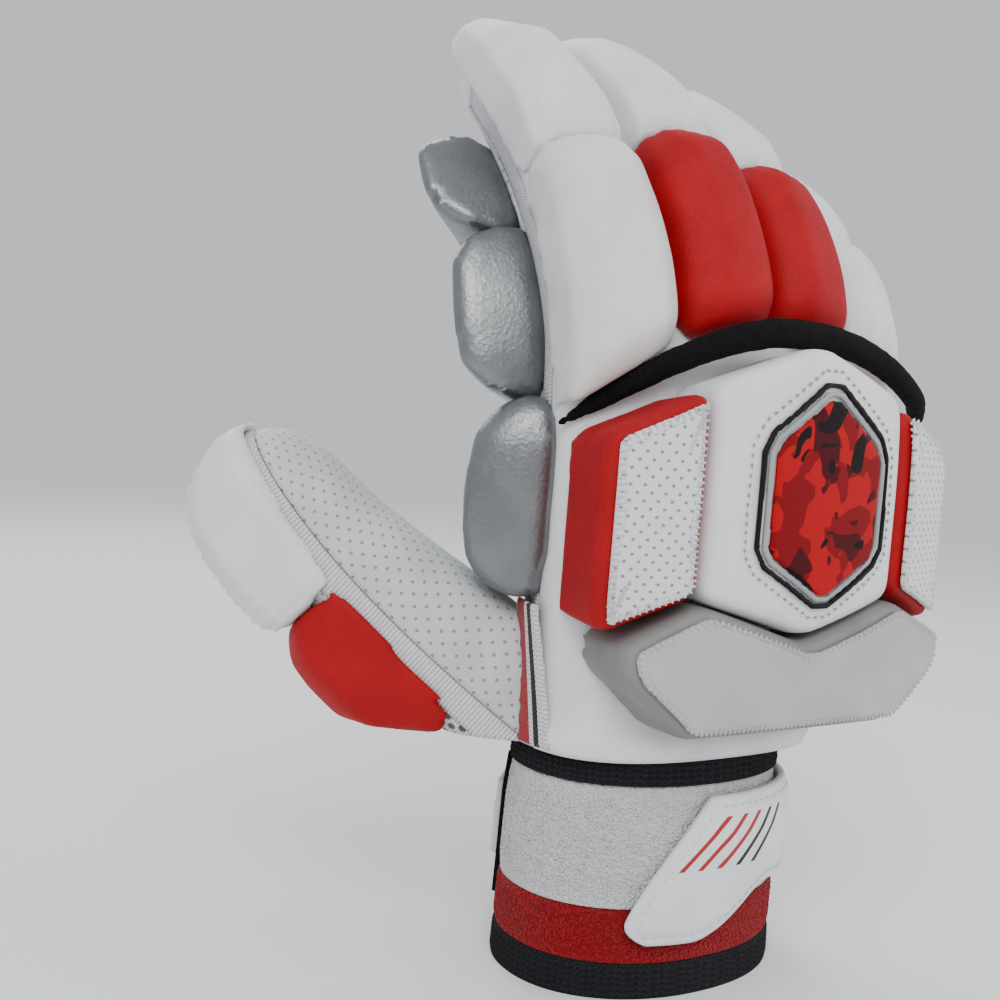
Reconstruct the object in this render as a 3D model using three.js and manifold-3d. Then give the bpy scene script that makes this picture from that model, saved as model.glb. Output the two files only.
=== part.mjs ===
// Right-hand cricket batting glove, standing on the rim of its cuff.
// Millimetres, +Z up along the cuff and fingers, back of the hand toward -Y, index side toward -X.
// Every cushion and wall is laid out on a straight, open hand first; bendHand then arches and curls it.
import * as THREE from 'three';
import { mergeVertices } from 'three/addons/utils/BufferGeometryUtils.js';
import Module from 'manifold-3d';

const wasm = await Module();
wasm.setup();

// Overall sizes
const cuffHeight = 62;
const palmLength = 112;
const handHalfWidth = 55;
const handHalfDepth = 24;
const cuffHalfWidth = 42;
const cuffHalfDepth = 31;
const leatherWall = 1.8;
const knitHalfWidth = 4.2;
const seamGap = 0.3;
const seatGap = 0.4;

// Bending of the straight layout
const archRadius = 140;
const archRise = 45;
const handLean = 7;
const fingerLean = 5;
const curlRise = 0.518;
const curlStart = cuffHeight + palmLength * curlRise;
const curlRange = 165;
const indexCurl = 51;
const littleCurl = 76;

// Finger stalls
const stallPitch = 29.5;
const stallShift = 8;
const stallHalfWidth = 14.2;
const stallHalfDepth = 14;
const stallRoot = 24;
const stallFan = 0.05;
const tipCapLength = 17;
const tipCapWall = 1.5;

// Finger rolls
const rollHeight = 15;
const rollGap = 0.6;
const bandHalfHeight = 3.2;
const bandHalfDepth = 3;
const bandDrop = 19;
const bandIndexEnd = -50;
const bandLittleEnd = 74;

// Pads on the back of the hand
const padHeight = 17;
const padDepthOfSeat = 6;
const padGap = 0.9;
const padRise = 0.616;
const padCentreUp = cuffHeight + palmLength * padRise;
const padCentreAcross = 4.5;
const hexHalfWidth = 28.5;
const hexSideHalfHeight = 25;
const hexPointHeight = 9.5;
const indexPadWidth = 21.5;
const littlePadWidth = 24;
const sidePadHalfHeight = 24;
const sidePadSkew = 10;
const padSkin = 1.6;
const faceInset = 1.6;
const faceGap = 0.5;
const skinBorder = 1.9;
const badgeShift = 1.5;
const badgeHalfWidth = 19.5;
const badgeSideHalfHeight = 14.5;
const badgePointHeight = 14;
const badgeRingWidth = 1.5;
const badgeThickness = 1.2;
const guardIndexReach = 46.5;
const guardLittleReach = 53.5;
const guardHeight = 19;
const guardCornerHeight = 23;

// Side protection
const barReach = 13;
const barFrontDepth = 13;
const barBackDepth = 17;
const tapeThickness = 1.4;

// Thumb
const thumbLength = 112;
const thumbHalfWidth = 17;
const thumbDepth = 13;
const thumbRollLength = 48;
const thumbRollHeight = 16;
const thumbBase = new THREE.Vector3(-38, 16, 60);
const thumbAlong = new THREE.Vector3(-0.62, 0.44, 0.56);
const thumbPadSide = new THREE.Vector3(0.48, -0.40, 0.78);
const thumbCurl = 14;
const meshShare = 0.52;

// Cuff
const cuffAcross = -4;
const cuffWall = 3;
const edgeBindingHeight = 9;
const redBandHeight = 14;
const topBindingHeight = 6;
const strapHeight = 38;
const strapFoot = 15;
const strapThickness = 2.2;
const strapSlant = 22;
const patchThickness = 1.4;
const tabHalfWidth = 27;
const tabThickness = 2.4;

// Colours
const whiteLeather = { color: 0xe3e5e6, roughness: 0.55 };
const creamLeather = { color: 0xe2e0da, roughness: 0.6 };
const redLeather = { color: 0xc41328, roughness: 0.6 };
const silverLeather = { color: 0x85898b, roughness: 0.35, metalness: 0.7 };
const palmHide = { color: 0xc9cdce, roughness: 0.7 };
const guardHide = { color: 0xc3c0b8, roughness: 0.7 };
const guardSide = { color: 0x94968f, roughness: 0.6 };
const whiteKnit = { color: 0xe6e8ea, roughness: 0.95 };
const redKnit = { color: 0xb4142a, roughness: 0.95 };
const blackTrim = { color: 0x1c1d1f, roughness: 0.9 };
const greyRubber = { color: 0x8d9092, roughness: 0.5 };

const mix = THREE.MathUtils.lerp;
const radians = THREE.MathUtils.degToRad;
const ease = (value) => THREE.MathUtils.smoothstep(value, 0, 1);

// Value of one column of a table of rows, read at a share along it
function readTable(table, share, column) {
  const last = table.length - 1;
  if (share <= table[0].at) return table[0][column];
  if (share >= table[last].at) return table[last][column];
  const next = table.findIndex((row) => row.at > share);
  const before = table[next - 1];
  const after = table[next];
  return mix(before[column], after[column], (share - before.at) / (after.at - before.at));
}

// Closed skin over rings of equal length; each end is closed by a fan round its middle
function skin(rings) {
  const count = rings[0].length;
  const points = rings.flat();
  const triangles = [];
  for (let row = 0; row + 1 < rings.length; row += 1) {
    for (let step = 0; step < count; step += 1) {
      const a = row * count + step;
      const b = row * count + ((step + 1) % count);
      triangles.push(a, b, b + count, a, b + count, a + count);
    }
  }
  const firstMiddle = points.length;
  points.push(middleOf(rings[0]), middleOf(rings[rings.length - 1]));
  const lastRow = (rings.length - 1) * count;
  for (let step = 0; step < count; step += 1) {
    const next = (step + 1) % count;
    triangles.push(firstMiddle, next, step, firstMiddle + 1, lastRow + step, lastRow + next);
  }
  return solidOf(points, triangles);
}

function middleOf(ring) {
  const middle = new THREE.Vector3();
  ring.forEach((point) => middle.add(point));
  return middle.divideScalar(ring.length);
}

function solidOf(points, triangles) {
  const geometry = new THREE.BufferGeometry();
  geometry.setAttribute('position', new THREE.Float32BufferAttribute(points.flatMap((p) => [p.x, p.y, p.z]), 3));
  geometry.setIndex(triangles);
  const merged = mergeVertices(geometry, 1e-4);
  let order = Array.from(merged.index.array);
  if (signedVolume(merged, order) < 0) {
    order = order.reverse();
  }
  return new wasm.Manifold(new wasm.Mesh({
    numProp: 3,
    vertProperties: new Float32Array(merged.attributes.position.array),
    triVerts: new Uint32Array(order),
  }));
}

function signedVolume(geometry, order) {
  const position = geometry.attributes.position;
  const corners = [new THREE.Vector3(), new THREE.Vector3(), new THREE.Vector3()];
  let volume = 0;
  for (let first = 0; first < order.length; first += 3) {
    corners.forEach((corner, index) => corner.fromBufferAttribute(position, order[first + index]));
    volume += corners[0].dot(corners[1].clone().cross(corners[2])) / 6;
  }
  return volume;
}

function boxSolid(low, high) {
  const size = high.clone().sub(low);
  const geometry = new THREE.BoxGeometry(size.x, size.y, size.z);
  geometry.translate(...low.clone().add(high).multiplyScalar(0.5).toArray());
  geometry.deleteAttribute('normal');
  geometry.deleteAttribute('uv');
  const merged = mergeVertices(geometry);
  return new wasm.Manifold(new wasm.Mesh({
    numProp: 3,
    vertProperties: new Float32Array(merged.attributes.position.array),
    triVerts: new Uint32Array(merged.index.array),
  }));
}

// The same solid with every corner moved by a function
function reshape(solid, move) {
  const mesh = solid.getMesh();
  const points = new Float32Array(mesh.vertProperties.length);
  const corner = new THREE.Vector3();
  for (let start = 0; start < points.length; start += mesh.numProp) {
    corner.fromArray(mesh.vertProperties, start);
    move(corner).toArray(points, start);
  }
  return new wasm.Manifold(new wasm.Mesh({ numProp: 3, vertProperties: points, triVerts: mesh.triVerts }));
}

// Arch across the hand and curl along it
function bendHand(point) {
  const across = point.x / handHalfWidth;
  const arch = ease((point.z - cuffHeight) / archRise) / archRadius;
  const lean = handLean * ease((point.z - cuffHeight) / archRise) + fingerLean * ease((point.z - curlStart) / curlRange);
  let x = point.x;
  let y = point.y;
  if (arch > 1e-6) {
    const turn = point.x * arch;
    const radius = 1 / arch - point.y;
    x = radius * Math.sin(turn);
    y = 1 / arch - radius * Math.cos(turn);
  }
  const spine = curledSpine(point.z, mix(indexCurl, littleCurl, (across + 1) / 2));
  return new THREE.Vector3(x + lean, spine.reach + y * Math.cos(spine.tilt), spine.rise - y * Math.sin(spine.tilt));
}

function curledSpine(up, fullCurl) {
  const steps = 24;
  const stride = (up - curlStart) / steps;
  if (stride <= 0) return { rise: up, reach: 0, tilt: 0 };
  const tiltAt = (length) => radians(fullCurl) * ease(length / curlRange);
  let rise = curlStart;
  let reach = 0;
  for (let step = 0; step < steps; step += 1) {
    const tilt = tiltAt((step + 0.5) * stride);
    rise += stride * Math.cos(tilt);
    reach += stride * Math.sin(tilt);
  }
  return { rise, reach, tilt: tiltAt(up - curlStart) };
}

// Rounded outline at one level; front is the back of the hand, toward -Y
function roundedRing(centre, halfWidth, front, back, up, count, power) {
  const ring = [];
  for (let step = 0; step < count; step += 1) {
    const angle = (2 * Math.PI * (step + 0.5)) / count;
    const cos = Math.cos(angle);
    const sin = Math.sin(angle);
    const depth = sin < 0 ? front : back;
    const x = Math.sign(cos) * Math.abs(cos) ** (2 / power) * halfWidth;
    const y = Math.sign(sin) * Math.abs(sin) ** (2 / power) * depth;
    ring.push(new THREE.Vector3(centre + x, y, up));
  }
  return ring;
}

// Hand from the wrist to the fork of the fingers
const handSections = [
  { at: 0, wide: 0.83, front: 1.2, back: 1.24, shift: -1 },
  { at: 0.18, wide: 0.88, front: 1.1, back: 1.12, shift: 0 },
  { at: 0.42, wide: 0.95, front: 1.0, back: 1.0, shift: 2 },
  { at: 0.7, wide: 1.01, front: 0.92, back: 0.88, shift: 5 },
  { at: 0.9, wide: 1.05, front: 0.8, back: 0.74, shift: 8 },
  { at: 1, wide: 1.04, front: 0.6, back: 0.55, shift: 8 },
];
const handLevels = [0, 0.16, 0.34, 0.52, 0.7, 0.88, 1];

function handHull(grow, below, around) {
  const rings = handLevels.map((share) => {
    const up = cuffHeight + share * palmLength;
    const wide = readTable(handSections, share, 'wide') * handHalfWidth + grow;
    const front = readTable(handSections, share, 'front') * handHalfDepth + grow;
    const back = readTable(handSections, share, 'back') * handHalfDepth + grow;
    const level = share === 1 ? up + grow : up;
    const centre = readTable(handSections, share, 'shift');
    return roundedRing(centre, wide, front, back, level, around, 2.7);
  });
  if (below > 0) {
    const foot = rings[0].map((point) => point.clone().setZ(cuffHeight - below));
    rings.unshift(foot);
  }
  return skin(rings);
}

// Finger stalls, from the index to the little finger; reach is the share of the longest stall
const longestStall = 112;
const fingers = [
  { name: 'index', slot: -1.5, reach: 0.98, valley: 0.53 },
  { name: 'middle', slot: -0.5, reach: 1, valley: 0.55 },
  { name: 'ring', slot: 0.5, reach: 0.95, valley: 0.55 },
  { name: 'little', slot: 1.5, reach: 0.8, valley: 0.53 },
];
const forkUp = cuffHeight + palmLength;
const stallFoot = forkUp - stallRoot;
const stallSections = [
  { at: 0, wide: 1, deep: 1 },
  { at: 0.45, wide: 0.99, deep: 0.98 },
  { at: 0.72, wide: 0.93, deep: 0.93 },
  { at: 0.86, wide: 0.86, deep: 0.84 },
  { at: 0.94, wide: 0.72, deep: 0.66 },
  { at: 0.985, wide: 0.46, deep: 0.4 },
  { at: 1, wide: 0.24, deep: 0.2 },
];
const stallLevels = [0, 0.2, 0.31, 0.42, 0.53, 0.64, 0.75, 0.85, 0.93, 0.985, 1];

function stallTip(finger) {
  return stallFoot + (longestStall + stallRoot) * finger.reach;
}

function stallCentre(finger, up) {
  const fan = 1 + (stallFan * Math.max(0, up - forkUp)) / stallPitch;
  return stallShift + finger.slot * stallPitch * fan;
}

function stallHull(finger, grow, around, levels = stallLevels) {
  const length = stallTip(finger) - stallFoot;
  const rings = levels.map((share) => {
    const up = stallFoot + share * length;
    const wide = readTable(stallSections, share, 'wide') * stallHalfWidth + grow;
    const deep = readTable(stallSections, share, 'deep') * stallHalfDepth + grow;
    const level = share === 1 ? up + grow : up;
    return roundedRing(stallCentre(finger, up), wide, deep, deep, level, around, 2.6);
  });
  return skin(rings);
}

function joinAll(solids) {
  return solids.reduce((whole, solid) => whole.add(solid));
}

const handSides = 18;
const stallSides = 8;
const capLevels = [0.75, 0.93, 0.985, 1];
const hollowLevels = [0, 0.2, 0.31, 0.42, 0.53, 0.64, 0.75, 0.85, 0.93, 0.975];
const handSolid = joinAll([handHull(0, 0, handSides), ...fingers.map((finger) => stallHull(finger, 0, stallSides))]);
const grownHand = joinAll([
  handHull(seatGap, 1, handSides),
  ...fingers.map((finger) => stallHull(finger, seatGap, stallSides)),
]);
const handHollow = joinAll([
  handHull(-leatherWall, 5, 12),
  ...fingers.map((finger) => stallHull(finger, -leatherWall, 6, hollowLevels)),
]);
const handShell = handSolid.subtract(handHollow);

// Slices of the layout, between two levels of depth or two levels across
const farAway = 400;

function slab(low, high) {
  const least = new THREE.Vector3(-farAway, -farAway, -farAway);
  const most = new THREE.Vector3(farAway, farAway, farAway);
  return boxSolid(least.clone().max(low), most.clone().min(high));
}

const anywhere = { low: new THREE.Vector3(-1e4, -1e4, -1e4), high: new THREE.Vector3(1e4, 1e4, 1e4) };

function between(axis, low, high) {
  const from = anywhere.low.clone();
  const to = anywhere.high.clone();
  from[axis] = low;
  to[axis] = high;
  return slab(from, to);
}

const parts = new THREE.Group();

function addPart(name, solid, finish) {
  const mesh = solid.getMesh();
  const geometry = new THREE.BufferGeometry();
  geometry.setAttribute('position', new THREE.BufferAttribute(new Float32Array(mesh.vertProperties), 3));
  geometry.setIndex(Array.from(mesh.triVerts));
  geometry.computeVertexNormals();
  const part = new THREE.Mesh(geometry, new THREE.MeshStandardMaterial(finish));
  part.name = name;
  parts.add(part);
}

// Thumb stall, laid out straight along its own axis: +X toward the back of the hand, +Y toward the index finger
const thumbFrame = (() => {
  const along = thumbAlong.clone().normalize();
  const side = thumbPadSide.clone().normalize().cross(along).normalize();
  const pad = along.clone().cross(side);
  return new THREE.Matrix4().makeBasis(side, pad, along).setPosition(thumbBase);
})();

function bendThumb(point) {
  const share = Math.max(0, point.z) / thumbLength;
  const tilt = radians(thumbCurl) * share * share;
  const spine = point.z * Math.sin(radians(thumbCurl) * share * share * 0.5);
  const straight = new THREE.Vector3(point.x, spine + point.y * Math.cos(tilt), point.z - point.y * Math.sin(tilt));
  return straight.applyMatrix4(thumbFrame);
}

const thumbSections = [
  { at: -0.12, wide: 0.9, guard: 0.7, pad: 2.3 },
  { at: 0.1, wide: 1, guard: 0.9, pad: 2.2 },
  { at: 0.3, wide: 1, guard: 0.95, pad: 2.1 },
  { at: 0.5, wide: 0.98, guard: 0.95, pad: 1.85 },
  { at: 0.68, wide: 0.94, guard: 0.92, pad: 1.6 },
  { at: 0.85, wide: 0.85, guard: 0.85, pad: 1.4 },
  { at: 0.94, wide: 0.66, guard: 0.66, pad: 1.0 },
  { at: 0.985, wide: 0.4, guard: 0.4, pad: 0.45 },
  { at: 1, wide: 0.2, guard: 0.2, pad: 0.2 },
];
const thumbLevels = [-0.12, 0.06, 0.22, 0.38, 0.54, 0.7, 0.84, 0.94, 0.985, 1];

function thumbHull(grow, around, levels = thumbLevels) {
  const rings = levels.map((share) => {
    const wide = readTable(thumbSections, share, 'wide') * thumbHalfWidth + grow;
    const guard = readTable(thumbSections, share, 'guard') * thumbDepth + grow;
    const pad = readTable(thumbSections, share, 'pad') * thumbDepth + grow;
    const level = share * thumbLength + (share === 1 ? grow : 0);
    return roundedRing(0, wide, guard, pad, level, around, 2.3);
  });
  return skin(rings);
}

const thumbSides = 14;
const thumbHollow = thumbHull(-leatherWall, 10, [-0.12, 0.06, 0.22, 0.38, 0.54, 0.7, 0.84, 0.94, 0.98]);
const thumbShell = thumbHull(0, thumbSides).subtract(thumbHollow);
const grownThumb = thumbHull(seatGap, thumbSides);
const thumbBore = reshape(thumbHull(-leatherWall, 10, [-0.12, 0.06, 0.22, 0.38]), bendThumb);
const bentHandSolid = reshape(grownHand, bendHand);

// A cushion bent with the hand and cut to sit just clear of it
function seatOnHand(solid) {
  return mainBody(reshape(solid, bendHand).subtract(bentHandSolid));
}

function mainBody(solid) {
  const pieces = solid.decompose();
  return pieces.reduce((best, piece) => (piece.volume() > best.volume() ? piece : best));
}

// Side bars: a ridge with a steep flank to the side and a narrow strip to the front
const bars = [
  { name: 'side_bar_top', foot: 0.67, head: 0.853, reach: 1.75, shift: 1.125 },
  { name: 'side_bar_middle', foot: 0.415, head: 0.666, reach: 1.6, shift: 0.833 },
  { name: 'side_bar_bottom', foot: 0.174, head: 0.412, reach: 1.35, shift: 0.208 },
];
const barSections = [
  { at: 0, size: 0.3 },
  { at: 0.06, size: 0.68 },
  { at: 0.2, size: 0.95 },
  { at: 0.5, size: 1 },
  { at: 0.78, size: 0.92 },
  { at: 0.94, size: 0.62 },
  { at: 1, size: 0.25 },
];

function sideEdge(up) {
  const share = (up - cuffHeight) / palmLength;
  const handEdge = readTable(handSections, share, 'wide') * handHalfWidth - readTable(handSections, share, 'shift');
  const index = fingers[0];
  const stallShare = (up - stallFoot) / (stallTip(index) - stallFoot);
  const stallEdge = readTable(stallSections, stallShare, 'wide') * stallHalfWidth - stallCentre(index, up);
  return up < forkUp ? Math.max(handEdge, stallEdge) : stallEdge;
}

function barUp(share) {
  return cuffHeight + (palmLength + longestStall) * share;
}

function barSolid(bar) {
  const rings = barSections.map((row) => {
    const up = barUp(mix(bar.foot, bar.head, row.at));
    const edge = -sideEdge(up);
    const reach = barReach * bar.reach * row.size;
    const shift = bar.shift * handHalfDepth;
    const front = -barFrontDepth * (0.55 + 0.45 * row.size) + shift * 0.75;
    const back = barBackDepth * (0.45 + 0.55 * row.size) + shift;
    const profile = [
      [edge + 6, front + 4],
      [edge + 2 - reach * 0.1, front],
      [edge - reach * 0.62, front * 0.72],
      [edge - reach * 0.95, front * 0.42],
      [edge - reach, front * 0.22],
      [edge - reach * 0.86, back * 0.25],
      [edge - reach * 0.5, back * 0.75],
      [edge + 1, back],
      [edge + 6, back - 4],
    ];
    return profile.map(([x, y]) => new THREE.Vector3(x, y, up));
  });
  return skin(rings);
}


// Walls of the hand, parted along the knit strips at the sides of the fingers
const halfSeam = seamGap / 2;
const frontWall = handShell.intersect(between('y', -farAway, -knitHalfWidth - halfSeam));
const palmWall = handShell.intersect(between('y', knitHalfWidth + halfSeam, farAway));
const knitWall = handShell.intersect(between('y', -knitHalfWidth + halfSeam, knitHalfWidth - halfSeam));
const palmTop = forkUp + seamGap;
const wallHalves = [
  { wall: frontWall, hand: 'back_panel', finger: 'finger_back', finish: whiteLeather },
  { wall: palmWall, hand: 'palm_leather', finger: 'finger_leather', finish: palmHide },
];
wallHalves.forEach((half) => {
  const handWall = half.wall.intersect(between('z', -farAway, palmTop));
  addPart(half.hand, mainBody(reshape(handWall, bendHand).subtract(thumbBore)), half.finish);
  const fingerWalls = half.wall.intersect(between('z', palmTop + seamGap, farAway)).decompose();
  fingers.forEach((finger) => {
    const across = stallCentre(finger, forkUp);
    const ofFinger = fingerWalls.filter((wall) => {
      const box = wall.boundingBox();
      return box.min[0] < across && box.max[0] > across;
    });
    addPart(`${half.finger}_${finger.name}`, reshape(mainBody(joinAll(ofFinger)), bendHand), half.finish);
  });
});

const knitPieces = [
  { name: 'index_side_strip', finish: whiteKnit },
  { name: 'fourchette_index_middle', finish: redKnit },
  { name: 'fourchette_middle_ring', finish: redKnit },
  { name: 'fourchette_ring_little', finish: redKnit },
  { name: 'little_side_strip', finish: whiteKnit },
];
knitPieces.forEach((piece, index) => {
  const cutAt = (finger) => stallCentre(finger, stallTip(finger));
  const from = index === 0 ? -farAway : cutAt(fingers[index - 1]) + halfSeam;
  const to = index === fingers.length ? farAway : cutAt(fingers[index]) - halfSeam;
  const besideFingers = between('x', from, to).intersect(between('z', stallFoot, farAway));
  const besideHand = between('x', index === 0 ? -farAway : 0, index === 0 ? 0 : farAway)
    .intersect(between('z', -farAway, stallFoot));
  const isFork = index > 0 && index < fingers.length;
  const strip = knitWall.intersect(isFork ? besideFingers : besideFingers.add(besideHand));
  addPart(piece.name, mainBody(reshape(strip, bendHand).subtract(thumbBore)), piece.finish);
});

// Finger rolls
const bandShape = (across) => {
  const share = (across - padCentreAcross) / (across < padCentreAcross ? bandIndexEnd : bandLittleEnd);
  return padCentreUp + hexSideHalfHeight + hexPointHeight + bandHalfHeight + padGap - bandDrop * share * share;
};
const tipProfile = [
  { at: 0, high: 0.6, wide: 0.93 },
  { at: 0.06, high: 0.85, wide: 0.985 },
  { at: 0.2, high: 0.99, wide: 1 },
  { at: 0.6, high: 0.94, wide: 0.99 },
  { at: 0.84, high: 0.7, wide: 0.92 },
  { at: 0.95, high: 0.4, wide: 0.78 },
  { at: 1, high: 0.12, wide: 0.5 },
];
const baseProfile = [
  { at: 0, high: 0.62, wide: 0.95 },
  { at: 0.12, high: 0.95, wide: 0.995 },
  { at: 0.36, high: 1, wide: 1 },
  { at: 0.62, high: 1, wide: 1 },
  { at: 0.86, high: 0.96, wide: 0.995 },
  { at: 1, high: 0.62, wide: 0.94 },
];
const rollHalfWidth = stallPitch / 2 - rollGap / 2;
const archSteps = 5;

function rollSolid(finger, profile, lowLine, highLine, seatDepth, height, grow = 0) {
  const rings = profile.map((row) => {
    const ring = [];
    const middleUp = mix(lowLine(stallCentre(finger, forkUp)), highLine(0), row.at);
    const centre = stallCentre(finger, middleUp);
    const half = rollHalfWidth * row.wide + grow;
    const top = seatDepth(middleUp) + height * row.high + grow;
    const addPoint = (x, deep) => {
      const up = mix(lowLine(centre + x), highLine(centre + x), row.at);
      ring.push(new THREE.Vector3(centre + x, -deep, up));
    };
    addPoint(half * 0.8, padDepthOfSeat - 3);
    for (let step = 0; step <= archSteps; step += 1) {
      const angle = (Math.PI * step) / archSteps;
      const x = Math.sign(Math.cos(angle)) * Math.abs(Math.cos(angle)) ** 0.72 * half;
      addPoint(x, padDepthOfSeat + (top - padDepthOfSeat) * Math.sin(angle) ** 0.62);
    }
    addPoint(-half * 0.8, padDepthOfSeat - 3);
    return ring;
  });
  return skin(rings);
}

function fingerRolls(finger, grow = 0) {
  const tip = stallTip(finger);
  const seatDepth = (up) => readTable(stallSections, (up - stallFoot) / (tip - stallFoot), 'deep') * stallHalfDepth;
  const valley = mix(stallFoot, tip, finger.valley);
  const bandTop = (across) => bandShape(across) + bandHalfHeight + rollGap - grow;
  const baseTop = () => valley - rollGap + grow;
  const base = rollSolid(finger, baseProfile, bandTop, baseTop, seatDepth, rollHeight + 1, grow);
  const roll = rollSolid(finger, tipProfile, () => valley - grow, () => tip + tipCapWall + 1, seatDepth, rollHeight, grow);
  const cap = stallHull(finger, tipCapWall + grow, stallSides, capLevels);
  return { base, tip: roll.add(cap.intersect(between('z', tip - tipCapLength, farAway))) };
}

fingers.forEach((finger, index) => {
  const isRed = index === 1 || index === 2;
  const baseFinish = isRed ? redLeather : whiteLeather;
  const rolls = fingerRolls(finger);
  addPart(`knuckle_roll_${finger.name}`, seatOnHand(rolls.base), index === 0 ? creamLeather : baseFinish);
  addPart(`tip_roll_${finger.name}`, seatOnHand(rolls.tip), whiteLeather);
});

// Knuckle band: a padded ribbon over the feet of the rolls
const bandDepths = [
  { at: -1, deep: 11 },
  { at: -0.7, deep: 22 },
  { at: -0.3, deep: 29 },
  { at: 0.3, deep: 31 },
  { at: 0.8, deep: 32 },
  { at: 1, deep: 27 },
];

function bandSolid(grow) {
  const rings = [];
  const columns = 16;
  const around = 6;
  for (let column = 0; column <= columns; column += 1) {
    const share = mix(-1, 1, column / columns);
    const across = mix(bandIndexEnd, bandLittleEnd, column / columns);
    const endTaper = Math.sqrt(Math.max(0.06, 1 - Math.abs(share) ** 10));
    const surface = readTable(bandDepths, share, 'deep');
    const ring = [];
    for (let step = 0; step < around; step += 1) {
      const angle = (2 * Math.PI * (step + 0.5)) / around;
      const deep = surface + (bandHalfDepth * endTaper + grow) * Math.sin(angle);
      const up = bandShape(across) + (bandHalfHeight * endTaper + grow) * Math.cos(angle);
      ring.push(new THREE.Vector3(across, -deep, up));
    }
    rings.push(ring);
  }
  return skin(rings);
}
addPart('knuckle_band', seatOnHand(bandSolid(0)), blackTrim);

const grownIndexRolls = fingerRolls(fingers[0], seatGap);
const grownBand = reshape(bandSolid(seatGap), bendHand);
const barSolids = bars.map((bar) => {
  const clearOfRolls = reshape(barSolid(bar), bendHand)
    .subtract(reshape(grownIndexRolls.base, bendHand))
    .subtract(reshape(grownIndexRolls.tip, bendHand))
    .subtract(grownBand);
  return { name: bar.name, solid: mainBody(clearOfRolls.subtract(bentHandSolid)) };
});


// Outlines of pads are corner lists across and up
function insetCorners(corners, inset) {
  return corners.map((corner, index) => {
    const before = corners[(index + corners.length - 1) % corners.length];
    const after = corners[(index + 1) % corners.length];
    const inward = (from, to) => new THREE.Vector2(from.y - to.y, to.x - from.x).normalize();
    const first = inward(before, corner);
    const second = inward(corner, after);
    const bisector = first.clone().add(second);
    return corner.clone().addScaledVector(bisector, (2 * inset) / bisector.lengthSq());
  });
}

const cutCorners = (corners, cut) => corners.flatMap((corner, index) => {
  const before = corners[(index + corners.length - 1) % corners.length];
  const after = corners[(index + 1) % corners.length];
  const toward = (other) => corner.clone().add(other.clone().sub(corner).setLength(cut));
  return [toward(before), toward(after)];
});

// A cushion stands on an outline; each layer has its inset and its depth from the middle of the hand
function cushion(corners, layers, coreInset = layers[layers.length - 1].inset, stride = 13) {
  const centre = corners.reduce((sum, corner) => sum.add(corner), new THREE.Vector2()).divideScalar(corners.length);
  const pieces = corners.map((corner, index) => {
    const next = corners[(index + 1) % corners.length];
    return Math.max(1, Math.round(corner.distanceTo(next) / stride));
  });
  const ringOf = (inset, deep, scale) => {
    const moved = insetCorners(corners, inset);
    const ring = [];
    moved.forEach((corner, index) => {
      const next = moved[(index + 1) % moved.length];
      for (let piece = 0; piece < pieces[index]; piece += 1) {
        const spot = corner.clone().lerp(next, piece / pieces[index]).sub(centre).multiplyScalar(scale).add(centre);
        ring.push(new THREE.Vector3(spot.x, -deep, spot.y));
      }
    });
    return ring;
  };
  const first = layers[0];
  const last = layers[layers.length - 1];
  return skin([
    ringOf(coreInset, first.deep, 0.28),
    ringOf(coreInset, first.deep, 0.62),
    ...layers.map((layer) => ringOf(layer.inset, layer.deep, 1)),
    ringOf(coreInset, last.deep, 0.62),
    ringOf(coreInset, last.deep, 0.28),
  ]);
}

const guardStride = 10;
const padLayers = (face) => [
  { inset: 0, deep: padDepthOfSeat },
  { inset: 0, deep: face - 4 },
  { inset: 0.5, deep: face - 1.3 },
  { inset: faceInset, deep: face },
];
const padFace = handHalfDepth + padHeight;
const padAt = (across, up) => new THREE.Vector2(padCentreAcross + across, padCentreUp + up);

function hexCorners(halfWidth, sideHalfHeight, pointHeight) {
  return [
    padAt(-halfWidth, -sideHalfHeight),
    padAt(0, -sideHalfHeight - pointHeight),
    padAt(halfWidth, -sideHalfHeight),
    padAt(halfWidth, sideHalfHeight),
    padAt(0, sideHalfHeight + pointHeight),
    padAt(-halfWidth, sideHalfHeight),
  ];
}

// Face panel on a cushion: it shares the core of the cushion's own face, so that both bend alike
function faceSkin(corners, face, stride) {
  const foot = face + faceGap;
  const layers = [{ inset: skinBorder, deep: foot }, { inset: skinBorder + 0.4, deep: foot + padSkin }];
  return reshape(cushion(corners, layers, faceInset, stride), bendHand);
}

const hexOutline = cutCorners(hexCorners(hexHalfWidth, hexSideHalfHeight, hexPointHeight), 2.5);
addPart('centre_pad', seatOnHand(cushion(hexOutline, padLayers(padFace))), whiteLeather);

// Badge of the centre pad: a black ring, a grey ring and a plain field
const badgeCorners = hexCorners(badgeHalfWidth, badgeSideHalfHeight, badgePointHeight);
const badgeOutline = cutCorners(badgeCorners, 3).map((corner) => corner.setX(corner.x + badgeShift));
const fieldInset = 2 * (badgeRingWidth + seamGap);

function badgePlate(inset, deepFrom, deepTo) {
  return cushion(badgeOutline, [{ inset, deep: deepFrom }, { inset, deep: deepTo }], fieldInset, 11);
}

const badgeFoot = padFace + seatGap;
const badgeSteps = [
  { name: 'badge_ring', outer: 0, inner: badgeRingWidth, finish: blackTrim },
  { name: 'badge_liner', outer: badgeRingWidth + seamGap, inner: 2 * badgeRingWidth + seamGap, finish: greyRubber },
];
badgeSteps.forEach((step) => {
  const plate = badgePlate(step.outer, badgeFoot, badgeFoot + badgeThickness);
  const hole = badgePlate(step.inner, badgeFoot - 2, badgeFoot + badgeThickness + 2);
  addPart(step.name, reshape(plate.subtract(hole), bendHand), step.finish);
});
addPart('badge_field', reshape(badgePlate(fieldInset, badgeFoot, badgeFoot + badgeThickness), bendHand), redLeather);

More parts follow.
